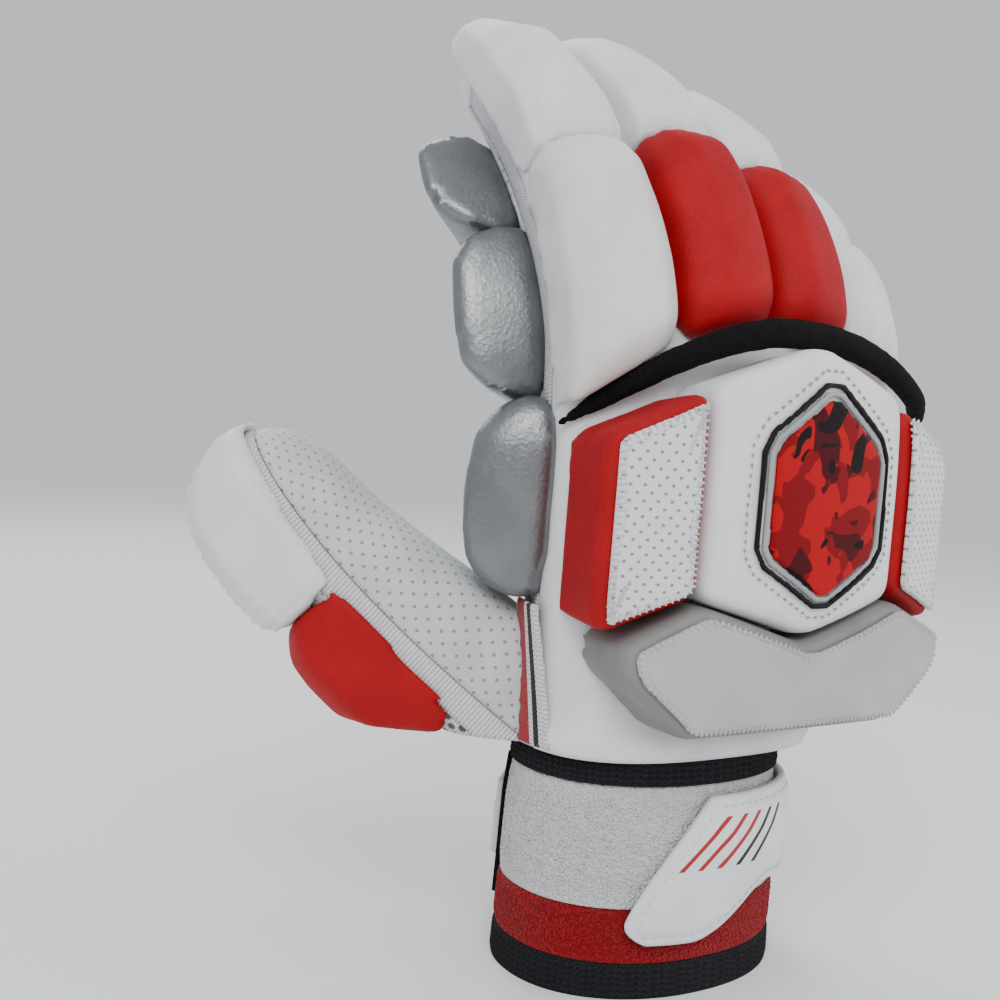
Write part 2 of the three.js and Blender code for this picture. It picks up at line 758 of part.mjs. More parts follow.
// Side pads: slanted outlines that drop away from the centre pad, each with a face panel
function sidePadCorners(side) {
  const near = hexHalfWidth + padGap;
  const far = near + (side > 0 ? littlePadWidth : indexPadWidth);
  const corners = [
    padAt(side * near, -sidePadHalfHeight),
    padAt(side * far, -sidePadHalfHeight - sidePadSkew),
    padAt(side * far, sidePadHalfHeight - sidePadSkew),
    padAt(side * near, sidePadHalfHeight),
  ];
  return side > 0 ? corners : corners.reverse();
}

[{ name: 'index_pad', side: -1 }, { name: 'little_pad', side: 1 }].forEach((pad) => {
  const corners = cutCorners(sidePadCorners(pad.side), 2);
  addPart(pad.name, seatOnHand(cushion(corners, padLayers(padFace))), redLeather);
  addPart(`${pad.name}_face`, faceSkin(corners, padFace), whiteLeather);
});

// Wrist guard: its upper edge follows the feet of the three pads
const guardTop = {
  corner: -sidePadHalfHeight - sidePadSkew - padGap - 1,
  shoulder: -sidePadHalfHeight - padGap - 1,
  dip: -hexSideHalfHeight - hexPointHeight - padGap - 1,
};
const guardFoot = guardTop.corner - guardCornerHeight;
const guardCorners = [
  padAt(-guardIndexReach * 0.72, guardFoot),
  padAt(guardLittleReach * 0.72, guardFoot),
  padAt(guardLittleReach, guardFoot + guardCornerHeight * 0.62),
  padAt(guardLittleReach, guardTop.corner),
  padAt(hexHalfWidth, guardTop.shoulder),
  padAt(0, guardTop.dip),
  padAt(-hexHalfWidth, guardTop.shoulder),
  padAt(-guardIndexReach, guardTop.corner),
  padAt(-guardIndexReach, guardFoot + guardCornerHeight * 0.62),
];
const guardFace = handHalfDepth + guardHeight;
const guardOutline = cutCorners(guardCorners, 1.8);
addPart('wrist_guard', seatOnHand(cushion(guardOutline, padLayers(guardFace), faceInset, guardStride)), guardSide);
addPart('wrist_guard_face', faceSkin(guardOutline, guardFace, guardStride), guardHide);

barSolids.forEach((bar) => addPart(bar.name, bar.solid, silverLeather));

// Striped tape down the index side, below the bars
function tapeSolid() {
  const rings = [];
  const rows = 6;
  for (let row = 0; row <= rows; row += 1) {
    const up = mix(cuffHeight + 1, barUp(bars[2].foot) - 1.5, row / rows);
    const share = (up - cuffHeight) / palmLength;
    const wide = readTable(handSections, share, 'wide') * handHalfWidth;
    const front = readTable(handSections, share, 'front') * handHalfDepth;
    const ring = [];
    const spots = [[175, 0], [185, 0], [195, 0], [195, 1], [185, 1], [175, 1]];
    spots.forEach(([degrees, outside]) => {
      const angle = radians(degrees);
      const grow = seatGap + 0.35 + outside * tapeThickness;
      const x = Math.sign(Math.cos(angle)) * Math.abs(Math.cos(angle)) ** (2 / 2.7) * (wide + grow);
      const y = Math.sign(Math.sin(angle)) * Math.abs(Math.sin(angle)) ** (2 / 2.7) * (front + grow);
      ring.push(new THREE.Vector3(x, y, up));
    });
    rings.push(ring);
  }
  return skin(rings);
}
const bentThumbSolid = reshape(grownThumb, bendThumb);
addPart('side_tape', mainBody(seatOnHand(tapeSolid()).subtract(bentThumbSolid)), redKnit);

// Thumb walls
const clearOfHand = (solid) => {
  const aboveCuff = between('z', cuffHeight + seamGap, farAway);
  const cleared = reshape(solid, bendThumb).intersect(aboveCuff).subtract(bentHandSolid);
  return barSolids.reduce((rest, bar) => rest.subtract(bar.solid), cleared);
};
const thumbSplit = meshShare * thumbLength;
const padSide = between('y', knitHalfWidth + halfSeam, farAway);
const guardSideHalf = between('y', -farAway, knitHalfWidth - halfSeam);
const outerStrip = between('x', halfSeam, farAway).intersect(between('y', -knitHalfWidth + halfSeam, knitHalfWidth - halfSeam));
const lowerPart = between('z', -farAway, thumbSplit - halfSeam);
const upperPart = between('z', thumbSplit + halfSeam, farAway);
const stripRoom = between('x', -halfSeam, farAway).intersect(between('y', -knitHalfWidth - halfSeam, farAway));
addPart('thumb_pad_leather', mainBody(clearOfHand(thumbShell.intersect(padSide))), palmHide);
addPart('thumb_side_strip', mainBody(clearOfHand(thumbShell.intersect(outerStrip))), whiteKnit);
const thumbRest = thumbShell.intersect(guardSideHalf).subtract(stripRoom);
addPart('thumb_mesh', mainBody(clearOfHand(thumbRest.intersect(lowerPart))), whiteKnit);
addPart('thumb_tip_leather', mainBody(clearOfHand(thumbRest.intersect(upperPart))), palmHide);

// Thumb rolls on the outer side of the stall; the tip roll is gathered
const thumbRollProfile = [
  { at: 0, high: 0.55, wide: 0.93 },
  { at: 0.06, high: 0.85, wide: 0.99 },
  { at: 0.2, high: 1, wide: 1 },
  { at: 0.5, high: 1, wide: 1 },
  { at: 0.8, high: 0.98, wide: 1 },
  { at: 0.94, high: 0.84, wide: 0.98 },
  { at: 1, high: 0.55, wide: 0.93 },
];
const thumbTipProfile = [
  { at: 0, high: 0.6, wide: 0.94 },
  { at: 0.06, high: 0.88, wide: 0.99 },
  { at: 0.3, high: 1, wide: 1 },
  { at: 0.65, high: 0.98, wide: 1 },
  { at: 0.84, high: 0.86, wide: 0.96 },
  { at: 0.95, high: 0.62, wide: 0.86 },
  { at: 1, high: 0.25, wide: 0.62 },
];
const gatherCount = 7;
const gatherDepth = 0.7;

function thumbRoll(profile, from, to, rows, gather) {
  const rings = [];
  for (let row = 0; row <= rows; row += 1) {
    const share = row / rows;
    const ripple = gather * Math.cos(2 * Math.PI * gatherCount * share) * ease(share * 2) * 0.5;
    const up = mix(from, to, share);
    const half = (thumbHalfWidth + 1.5) * readTable(profile, share, 'wide') + ripple;
    const seat = readTable(thumbSections, up / thumbLength, 'guard') * thumbDepth;
    const top = seat + thumbRollHeight * readTable(profile, share, 'high') + ripple;
    const ring = [new THREE.Vector3(half * 0.8, 2.5, up)];
    for (let step = 0; step <= archSteps; step += 1) {
      const angle = (Math.PI * step) / archSteps;
      const x = Math.sign(Math.cos(angle)) * Math.abs(Math.cos(angle)) ** 0.7 * half;
      ring.push(new THREE.Vector3(x, -1 - (top - 1) * Math.sin(angle) ** 0.6, up));
    }
    ring.push(new THREE.Vector3(-half * 0.8, 2.5, up));
    rings.push(ring);
  }
  return skin(rings).subtract(grownThumb);
}

const thumbTipRollEnd = thumbLength + 2;
const thumbTipRollStart = thumbTipRollEnd - thumbRollLength;
const thumbBaseRollStart = thumbTipRollStart - rollGap - thumbRollLength;
addPart('thumb_tip_roll', mainBody(clearOfHand(
  thumbRoll(thumbTipProfile, thumbTipRollStart, thumbTipRollEnd, 13, gatherDepth))), whiteLeather);
addPart('thumb_base_roll', mainBody(clearOfHand(
  thumbRoll(thumbRollProfile, thumbBaseRollStart, thumbTipRollStart - rollGap, 8, 0))), redLeather);

// Cuff
const cuffSections = [
  { at: 0, wide: 1, deep: 1 },
  { at: 0.4, wide: 0.985, deep: 0.98 },
  { at: 0.7, wide: 0.975, deep: 0.97 },
  { at: 0.92, wide: 0.96, deep: 0.9 },
  { at: 1, wide: 0.955, deep: 0.88 },
];

const cuffSides = 18;
const cuffPower = 2.15;

function cuffRing(up, grow, around) {
  const share = up / cuffHeight;
  const wide = readTable(cuffSections, share, 'wide') * cuffHalfWidth + grow;
  const deep = readTable(cuffSections, share, 'deep') * cuffHalfDepth + grow;
  return roundedRing(cuffAcross, wide, deep, deep, up, around, cuffPower);
}

function cuffTube(low, high, rows, grow, wall) {
  const levels = Array.from({ length: rows + 1 }, (unused, row) => mix(low, high, row / rows));
  const outer = skin(levels.map((up) => cuffRing(up, grow, cuffSides)));
  const inner = skin([low - 1, ...levels, high + 1].map((up) => cuffRing(up, grow - wall, cuffSides)));
  return outer.subtract(inner);
}

const redBandFoot = edgeBindingHeight + seamGap;
const towellingFoot = redBandFoot + redBandHeight + seamGap;
const topBindingFoot = cuffHeight - seamGap - topBindingHeight;
addPart('cuff_edge_binding', cuffTube(0, edgeBindingHeight, 2, 0.3, cuffWall), blackTrim);
addPart('cuff_red_band', cuffTube(redBandFoot, redBandFoot + redBandHeight, 2, 0, cuffWall), redKnit);
addPart('cuff_towelling', cuffTube(towellingFoot, topBindingFoot - seamGap, 3, 0, cuffWall), whiteKnit);
addPart('cuff_top_binding', cuffTube(topBindingFoot, cuffHeight - seamGap, 2, 0.9, cuffWall + 0.9), blackTrim);

// Point on the outside of the cuff: girth is measured round from the front toward the little finger
function cuffPoint(girth, up, lift) {
  const wide = cuffHalfWidth + lift;
  const deep = cuffHalfDepth + lift;
  const angle = girth / ((cuffHalfWidth + cuffHalfDepth) / 2);
  const share = up / cuffHeight;
  const x = Math.sin(angle);
  const y = -Math.cos(angle);
  const power = 2 / cuffPower;
  return new THREE.Vector3(
    cuffAcross + Math.sign(x) * Math.abs(x) ** power * (wide - cuffHalfWidth * (1 - readTable(cuffSections, share, 'wide'))),
    Math.sign(y) * Math.abs(y) ** power * (deep - cuffHalfDepth * (1 - readTable(cuffSections, share, 'deep'))),
    up);
}

// Bent plate on the cuff: startAt and endAt give its girth limits at a share of its height
function cuffPlate(foot, head, startAt, endAt, columns, rows, lift, thickness) {
  const rings = [];
  const outline = [];
  for (let row = 0; row < rows; row += 1) outline.push([row / rows, 0]);
  outline.push([1, 0]);
  for (let row = rows; row > 0; row -= 1) outline.push([row / rows, 1]);
  outline.push([0, 1]);
  for (let column = 0; column <= columns; column += 1) {
    rings.push(outline.map(([share, outside]) => {
      const girth = mix(startAt(share), endAt(share), column / columns);
      return cuffPoint(girth, mix(foot, head, share), lift + outside * thickness);
    }));
  }
  return skin(rings);
}

const strapStart = (share) => -24 + strapSlant * share * share + 3 * Math.abs(share - 0.5);
const strapEnd = (share) => 84 - 8 * Math.abs(share - 0.5);
const strapHead = strapFoot + strapHeight;
addPart('strap', cuffPlate(strapFoot, strapHead, strapStart, strapEnd, 13, 3, 1.3, strapThickness), whiteLeather);

const patchStart = 88;
const patchEnd = 146;
const patchLift = 1.0;
const patchPlate = (lift, thickness) => cuffPlate(strapFoot - 2, strapHead + 1, () => patchStart, () => patchEnd, 8, 3,
  lift, thickness);
addPart('loop_patch', patchPlate(patchLift, patchThickness), blackTrim);

// Strap tab: a long hexagon closed on the loop patch, with a badge like the pad's
const tabCentre = (patchStart + patchEnd) / 2 - 1;
const tabOutline = [
  { across: 1, up: 0.56 }, { across: 0.5, up: 1 }, { across: -0.5, up: 1 }, { across: -1, up: 0.56 },
  { across: -1, up: -0.56 }, { across: -0.5, up: -1 }, { across: 0.5, up: -1 }, { across: 1, up: -0.56 },
].map((corner) => new THREE.Vector2(corner.across * tabHalfWidth, (corner.up * strapHeight) / 2));

function tabPlate(inset, lift, thickness) {
  const layers = [{ inset, deep: 0 }, { inset, deep: thickness }];
  return reshape(cushion(tabOutline, layers, 0, 8), (point) => cuffPoint(
    tabCentre + point.x, strapFoot + strapHeight / 2 + point.z, lift - point.y));
}

const tabLift = patchLift + patchThickness + seatGap;
const grownPatch = patchPlate(patchLift - 1, patchThickness + 1 + seatGap);
addPart('strap_tab', mainBody(tabPlate(0, tabLift - 1, tabThickness + 1).subtract(grownPatch)), whiteLeather);
const tabBadgeLift = tabLift + tabThickness + seatGap + 0.3;
const tabFieldInset = 5.5;
addPart('tab_badge', tabPlate(tabFieldInset, tabBadgeLift, badgeThickness), redLeather);

// The origin is the middle of the foot of the whole glove's box
const wholeBox = new THREE.Box3().setFromObject(parts);
parts.position.set(-(wholeBox.min.x + wholeBox.max.x) / 2, -(wholeBox.min.y + wholeBox.max.y) / 2, -wholeBox.min.z);
parts.updateMatrixWorld(true);

const glove = new THREE.Group();
glove.add(parts);
export default glove;
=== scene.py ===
import math
import random

import bmesh
import bpy
import numpy as np
from mathutils import Matrix, Vector


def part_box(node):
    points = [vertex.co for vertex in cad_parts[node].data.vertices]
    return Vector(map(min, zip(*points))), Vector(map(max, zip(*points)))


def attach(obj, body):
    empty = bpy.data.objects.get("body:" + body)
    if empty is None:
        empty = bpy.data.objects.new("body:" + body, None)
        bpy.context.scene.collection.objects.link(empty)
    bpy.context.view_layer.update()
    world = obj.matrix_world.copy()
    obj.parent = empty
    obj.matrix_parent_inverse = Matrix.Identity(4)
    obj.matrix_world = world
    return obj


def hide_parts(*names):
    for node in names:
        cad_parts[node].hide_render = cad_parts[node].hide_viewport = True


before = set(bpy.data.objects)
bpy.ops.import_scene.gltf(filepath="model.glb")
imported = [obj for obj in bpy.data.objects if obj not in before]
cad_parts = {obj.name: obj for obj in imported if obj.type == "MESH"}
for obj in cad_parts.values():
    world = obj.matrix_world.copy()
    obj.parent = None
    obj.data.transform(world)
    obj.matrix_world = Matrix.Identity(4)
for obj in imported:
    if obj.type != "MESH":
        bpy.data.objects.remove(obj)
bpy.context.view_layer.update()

mm = 0.001

# Lengths are millimetres of the straight, open glove; bendHand and bendThumb then give it its curl
hand = {
    "cuffHeight": 62, "palmLength": 112, "halfWidth": 55, "halfDepth": 24, "wall": 1.8, "knit": 4.2, "gap": 0.15,
    "archRadius": 140, "archRise": 45, "lean": 7, "fingerLean": 5, "curlStart": 120.016, "curlRange": 165,
    "indexCurl": 51, "littleCurl": 76, "power": 2.7, "tuck": 5, "hem": 0.3, "cutIn": 1.2,
}
stall = {"pitch": 29.5, "shift": 8, "halfWidth": 14.2, "halfDepth": 14, "root": 24, "fan": 0.05, "longest": 112,
         "power": 2.6}
fingers = [
    {"name": "index", "slot": -1.5, "reach": 0.98, "valley": 0.53, "roll": "creamLeather"},
    {"name": "middle", "slot": -0.5, "reach": 1.0, "valley": 0.55, "roll": "redLeather"},
    {"name": "ring", "slot": 0.5, "reach": 0.95, "valley": 0.55, "roll": "redLeather"},
    {"name": "little", "slot": 1.5, "reach": 0.8, "valley": 0.53, "roll": "whiteLeather"},
]
thumb = {
    "length": 112, "halfWidth": 17, "depth": 13, "base": (-38, 16, 60), "along": (-0.62, 0.44, 0.56),
    "padSide": (0.48, -0.40, 0.78), "curl": 14, "meshShare": 0.52, "power": 2.3,
    "tuck": 0.12, "cutIn": 2.5,
}
cuff = {"height": 62, "halfWidth": 42, "halfDepth": 31, "across": -4, "power": 2.15}

handSections = {  # share up the palm: width, front depth, back depth, shift
    "at": [0, 0.18, 0.42, 0.7, 0.9, 1],
    "wide": [0.83, 0.88, 0.95, 1.01, 1.05, 1.04],
    "front": [1.2, 1.1, 1.0, 0.92, 0.8, 0.6],
    "back": [1.24, 1.12, 1.0, 0.88, 0.74, 0.55],
    "shift": [-1, 0, 2, 5, 8, 8],
}
stallSections = {
    "at": [0, 0.45, 0.72, 0.86, 0.94, 0.985, 1],
    "wide": [1, 0.99, 0.93, 0.86, 0.72, 0.46, 0.24],
    "deep": [1, 0.98, 0.93, 0.84, 0.66, 0.4, 0.2],
}
thumbSections = {
    "at": [-0.12, 0.1, 0.3, 0.5, 0.68, 0.85, 0.94, 0.985, 1],
    "wide": [0.9, 1, 1, 0.98, 0.94, 0.85, 0.66, 0.4, 0.2],
    "guard": [0.7, 0.9, 0.95, 0.95, 0.92, 0.85, 0.66, 0.4, 0.2],
    "pad": [2.3, 2.2, 2.1, 1.85, 1.6, 1.4, 1.0, 0.45, 0.2],
}
cuffSections = {"at": [0, 0.4, 0.7, 0.92, 1], "wide": [1, 0.985, 0.975, 0.96, 0.955],
                "deep": [1, 0.98, 0.97, 0.9, 0.88]}

forkUp = hand["cuffHeight"] + hand["palmLength"]
stallFoot = forkUp - stall["root"]


def readTable(table, share, column):
    return np.interp(share, table["at"], table[column])


def smoothStep(value):
    value = np.clip(value, 0, 1)
    return value * value * (3 - 2 * value)


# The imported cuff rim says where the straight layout's own origin lies
rimLow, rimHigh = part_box("cuff_edge_binding")
origin = np.array([(rimLow[0] + rimHigh[0]) / 2 / mm - cuff["across"], (rimLow[1] + rimHigh[1]) / 2 / mm, 0.0])


def bendHand(flat):  # arch across the hand, lean and curl along it
    x, y, z = flat[:, 0], flat[:, 1], flat[:, 2]
    rise = smoothStep((z - hand["cuffHeight"]) / hand["archRise"])
    arch = np.maximum(rise / hand["archRadius"], 1e-7)
    radius = 1 / arch - y
    across = radius * np.sin(x * arch)
    deep = 1 / arch - radius * np.cos(x * arch)
    lean = hand["lean"] * rise + hand["fingerLean"] * smoothStep((z - hand["curlStart"]) / hand["curlRange"])
    curl = np.radians(hand["indexCurl"] + (hand["littleCurl"] - hand["indexCurl"]) * (x / hand["halfWidth"] + 1) / 2)
    steps = 24
    stride = np.maximum(z - hand["curlStart"], 0) / steps
    up, reach = np.minimum(z, hand["curlStart"]), np.zeros_like(z)
    for step in range(steps):
        tilt = curl * smoothStep((step + 0.5) * stride / hand["curlRange"])
        up = up + stride * np.cos(tilt)
        reach = reach + stride * np.sin(tilt)
    tilt = curl * smoothStep((z - hand["curlStart"]) / hand["curlRange"])
    return np.stack([across + lean, reach + deep * np.cos(tilt), up - deep * np.sin(tilt)], 1)


thumbAlong = Vector(thumb["along"]).normalized()
thumbSide = Vector(thumb["padSide"]).normalized().cross(thumbAlong).normalized()
thumbPad = thumbAlong.cross(thumbSide)
thumbAxes = np.array([thumbSide, thumbPad, thumbAlong])


def bendThumb(flat):
    x, y, z = flat[:, 0], flat[:, 1], flat[:, 2]
    tilt = math.radians(thumb["curl"]) * (np.maximum(z, 0) / thumb["length"]) ** 2
    straight = np.stack([x, z * np.sin(tilt / 2) + y * np.cos(tilt), z - y * np.sin(tilt)], 1)
    return straight @ thumbAxes + np.array(thumb["base"])


def bendCuff(flat):  # x is the girth from the front toward the little finger, y the lift toward the hand, z up
    angle = flat[:, 0] / ((cuff["halfWidth"] + cuff["halfDepth"]) / 2)
    share = flat[:, 2] / cuff["height"]
    wide = cuff["halfWidth"] * readTable(cuffSections, share, "wide") - flat[:, 1]
    deep = cuff["halfDepth"] * readTable(cuffSections, share, "deep") - flat[:, 1]
    sine, cosine = np.sin(angle), -np.cos(angle)
    power = 2 / cuff["power"]
    return np.stack([cuff["across"] + np.sign(sine) * np.abs(sine) ** power * wide,
                     np.sign(cosine) * np.abs(cosine) ** power * deep, flat[:, 2]], 1)


layingOut = {"low": 40, "high": 300, "stride": 4.0, "rounds": 14, "nudge": 0.01, "longest": 12}


def firstGuess(points, bend):  # nearest spot on the hand's middle line
    if bend is bendThumb:
        return (points - np.array(thumb["base"])) @ thumbAxes.T
    ups = np.arange(layingOut["low"], layingOut["high"], layingOut["stride"])
    best, nearest = np.zeros(len(points)), np.full(len(points), 1e9)
    for up in ups:
        here = bendHand(np.stack([points[:, 0], 0 * points[:, 0], 0 * points[:, 0] + up], 1))
        away = np.linalg.norm(points - here, axis=1)
        best = np.where(away < nearest, up, best)
        nearest = np.minimum(away, nearest)
    return np.stack([points[:, 0], 0 * best, best], 1)


def unbend(points, bend):  # finds the straight layout of points of the finished glove
    flat = firstGuess(points, bend)
    for _ in range(layingOut["rounds"]):
        here = bend(flat)
        slope = np.empty((len(points), 3, 3))
        for axis in range(3):
            nudged = flat.copy()
            nudged[:, axis] += layingOut["nudge"]
            slope[:, :, axis] = (bend(nudged) - here) / layingOut["nudge"]
        step = np.linalg.solve(slope, (points - here)[..., None])[..., 0]
        flat = flat + np.clip(step, -layingOut["longest"], layingOut["longest"])
    return flat


def stallTip(finger):
    return stallFoot + (stall["longest"] + stall["root"]) * finger["reach"]


def stallCentre(finger, up):
    fan = 1 + stall["fan"] * np.maximum(0, up - forkUp) / stall["pitch"]
    return stall["shift"] + finger["slot"] * stall["pitch"] * fan


def corners(bm):
    return np.array([vert.co for vert in bm.verts])


def moveTo(bm, points):
    for vert, point in zip(bm.verts, points):
        vert.co = point


def tube(sides, levels, shape):  # closed loft: a cylinder whose rings are moved by shape(share, angle)
    bm = bmesh.new()
    bmesh.ops.create_cone(bm, cap_ends=True, segments=sides, radius1=1, radius2=1, depth=1)
    upright = [edge for edge in bm.edges if abs(edge.verts[0].co.z - edge.verts[1].co.z) > 0.5]
    bmesh.ops.subdivide_edges(bm, edges=upright, cuts=levels - 1, use_grid_fill=True)
    points = corners(bm)
    moveTo(bm, shape(points[:, 2] + 0.5, np.arctan2(points[:, 1], points[:, 0])))
    return bm


def rounded(centre, wide, front, back, up, angle, power):
    cosine, sine = np.cos(angle), np.sin(angle)
    deep = np.where(sine < 0, front, back)
    return np.stack([centre + np.sign(cosine) * np.abs(cosine) ** (2 / power) * wide,
                     np.sign(sine) * np.abs(sine) ** (2 / power) * deep, up + 0 * angle], 1)


def join(pieces):
    whole = bmesh.new()
    for piece in pieces:
        mesh = bpy.data.meshes.new("join")
        piece.to_mesh(mesh)
        piece.free()
        whole.from_mesh(mesh)
        bpy.data.meshes.remove(mesh)
    return whole


def withModifier(bm, kind, **settings):
    mesh = bpy.data.meshes.new("work")
    bm.to_mesh(mesh)
    bm.free()
    work = bpy.data.objects.new("work", mesh)
    bpy.context.collection.objects.link(work)
    modifier = work.modifiers.new("work", kind)
    for key, value in settings.items():
        setattr(modifier, key, value)
    result = bpy.data.meshes.new_from_object(work.evaluated_get(bpy.context.evaluated_depsgraph_get()))
    made = bmesh.new()
    made.from_mesh(result)
    bpy.data.objects.remove(work)
    bpy.data.meshes.remove(mesh)
    bpy.data.meshes.remove(result)
    return made


def softened(bm, rounds):
    for _ in range(rounds):
        bmesh.ops.smooth_vert(bm, verts=bm.verts, factor=0.5, use_axis_x=True, use_axis_y=True, use_axis_z=True)
    return bm


def remeshed(bm, voxel, rounds):
    return softened(withModifier(bm, "REMESH", mode="VOXEL", voxel_size=voxel), rounds)


def normals(bm):
    bm.normal_update()
    return np.array([vert.normal for vert in bm.verts])


def puffed(bm, amount):  # amount is one number or one for each corner
    amount = np.broadcast_to(np.asarray(amount, float), (len(bm.verts),))
    moveTo(bm, corners(bm) + normals(bm) * amount[:, None])
    return bm


def ripple(points, size, seed, layers=5):  # smooth wandering value between about -1 and 1
    dice = random.Random(seed)
    total = np.zeros(len(points))
    for _ in range(layers):
        way = Vector((dice.gauss(0, 1), dice.gauss(0, 1), dice.gauss(0, 1))).normalized()
        total += np.sin(points @ np.array(way) * 2 * math.pi / (size * dice.uniform(0.6, 1.6)) + dice.uniform(0, 6.3))
    return total / layers


def cadName(name):  # palmLeather here is palm_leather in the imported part
    return "".join("_" + letter.lower() if letter.isupper() else letter for letter in name)


def copyOf(cadNode, bend):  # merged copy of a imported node, laid out straight where a bend is given
    bm = bmesh.new()
    bm.from_mesh(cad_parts[cadNode].data)
    bmesh.ops.remove_doubles(bm, verts=bm.verts, dist=0.00001)
    points = corners(bm) / mm - origin
    moveTo(bm, unbend(points, bend) if bend else points)
    return bm


def inPanels(skin, cuts, keep):  # copy of a skin, cut along planes, without the faces that keep() refuses
    bm = skin.copy()
    for point, normal in cuts:
        bmesh.ops.bisect_plane(bm, geom=bm.verts[:] + bm.edges[:] + bm.faces[:], dist=0.0001, plane_co=point,
                               plane_no=normal)
    middles = np.array([face.calc_center_median() for face in bm.faces])
    refused = [face for face, stays in zip(bm.faces, keep(middles)) if not stays]
    bmesh.ops.delete(bm, geom=refused, context="FACES")
    return bm


def biggest(bm):  # drops crumbs left by a cut
    left, islands = set(bm.faces), []
    while left:
        stack, island = [left.pop()], []
        while stack:
            face = stack.pop()
            island.append(face)
            for edge in face.edges:
                for other in edge.link_faces:
                    if other in left:
                        left.discard(other)
                        stack.append(other)
        islands.append(island)
    islands.sort(key=len)
    crumbs = [face for island in islands[:-1] for face in island]
    bmesh.ops.delete(bm, geom=crumbs, context="FACES")
    return bm


def panelOf(skin, cuts, keep, clear):  # one panel of a skin, without what lies inside the neighbouring skin
    return biggest(inPanels(inPanels(skin, cuts, keep), [], clear))


def walled(bm, thickness):
    bm.normal_update()
    return withModifier(bm, "SOLIDIFY", thickness=thickness, offset=-1, use_even_offset=False)


triangles = {}
otherSlots = {  # finishes whose slot has another name than their own
    "airMesh": "mesh_knit", "stripedKnit": "red_knit", "whiteTowel": "white_towelling", "redTowel": "red_towelling",
    "blackBand": "black_knit", "stripedLeather": "white_leather", "guardThread": "guard_hide",
    "greyThread": "white_leather",
}
girthRadius, girthDepth = 21, 0.8  # the thumb's texture runs round it as if it were this oval


def place(name, bm, bend, finish, slot=None, stands=None, fill=None, girth=False):
    flat = corners(bm)  # the straight piece, bent below and made an object
    slot = slot or otherSlots.get(finish, cadName(finish))
    stands = [cadName(name)] if stands is None else stands
    if girth:
        around = flat.copy()
        around[:, 0] = girthRadius * np.arctan2(flat[:, 0], flat[:, 1] * girthDepth)
    mesh = bpy.data.meshes.new(name)
    moveTo(bm, ((bend(flat) if bend else flat) + origin) * mm)
    bm.to_mesh(mesh)
    bm.free()
    layout = mesh.attributes.new("layout", "FLOAT_VECTOR", "POINT")
    layout.data.foreach_set("vector", ((around if girth else flat) * mm).ravel())
    mesh.polygons.foreach_set("use_smooth", [True] * len(mesh.polygons))
    mesh.materials.append(finishes[finish])
    piece = bpy.data.objects.new(name, mesh)
    bpy.context.collection.objects.link(piece)
    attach(piece, "root")
    if stands:
        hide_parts(*stands)
    triangles[name] = sum(len(face.vertices) - 2 for face in mesh.polygons)
    return piece


def outlineOf(bm):  # loop round the outer face of a straight plate
    bm.normal_update()
    outer = {face for face in bm.faces if face.normal.y < -0.6}
    rim = [edge for edge in bm.edges if sum(face in outer for face in edge.link_faces) == 1]
    links = {}
    for edge in rim:
        for one, other in ((edge.verts[0], edge.verts[1]), (edge.verts[1], edge.verts[0])):
            links.setdefault(one, []).append(other)
    here = max(links, key=lambda vert: vert.co.z)
    path, seen = [here], {here}
    while True:
        onward = [vert for vert in links[path[-1]] if vert not in seen]
        if not onward:
            return np.array([vert.co for vert in path])
        path.append(onward[0])
        seen.add(onward[0])


def inset(path, amount):  # draws a loop in toward its middle, in x and z
    middle = path.mean(0)
    away = path - middle
    size = np.hypot(away[:, 0], away[:, 2])
    share = np.maximum(0.05, 1 - amount / np.maximum(size, 1e-6))
    return np.stack([middle[0] + away[:, 0] * share, path[:, 1], middle[2] + away[:, 2] * share], 1)


def spaced(path, pitch, closed=True):  # evenly spaced points and directions along a path
    if closed:
        path = np.vstack([path, path[:1]])
    run = np.concatenate([[0], np.cumsum(np.linalg.norm(np.diff(path, axis=0), axis=1))])
    spots = np.arange(pitch / 2, run[-1], pitch)
    at = np.stack([np.interp(spots, run, path[:, axis]) for axis in range(3)], 1)
    ahead = np.stack([np.interp(np.minimum(spots + 0.3, run[-1]), run, path[:, axis]) for axis in range(3)], 1)
    return at, ahead - at


stitches = {
    "overlock": {"pitch": 1.45, "long": 1.7, "thick": 0.36, "turned": 90, "lift": 0.0},
    "run": {"pitch": 2.0, "long": 1.4, "thick": 0.24, "turned": 0, "lift": 0.2},
    "badge": {"pitch": 2.2, "long": 1.1, "thick": 0.28, "turned": 0, "lift": -0.95},
    "strap": {"pitch": 2.3, "long": 1.4, "thick": 0.3, "turned": 0, "lift": 0.05},
}


def stitchRow(name, path, bend, finish, slot, kind, closed=True):
    stitch = stitches[kind]
    dice = random.Random(5)
    bm = bmesh.new()
    for at, way in zip(*spaced(path, stitch["pitch"], closed)):
        along = Vector(way).normalized()
        side = Vector((0, 1, 0)).cross(along).normalized()
        lean = math.radians(stitch["turned"] + dice.uniform(-7, 7))
        axis = (along * math.cos(lean) + side * math.sin(lean)).normalized()
        out = axis.cross(Vector((0, 1, 0)).cross(axis)).normalized()
        basis = Matrix((axis, out, axis.cross(out))).transposed().to_4x4()
        spot = Matrix.Translation(Vector(at) + Vector((0, -stitch["lift"], 0)))
        size = Matrix.Diagonal((stitch["long"] / 2 * dice.uniform(0.85, 1.1), stitch["thick"], stitch["thick"], 1))
        bmesh.ops.create_icosphere(bm, subdivisions=2, radius=1, matrix=spot @ basis @ size)
    return place(name, bm, bend, finish, slot, stands=[])


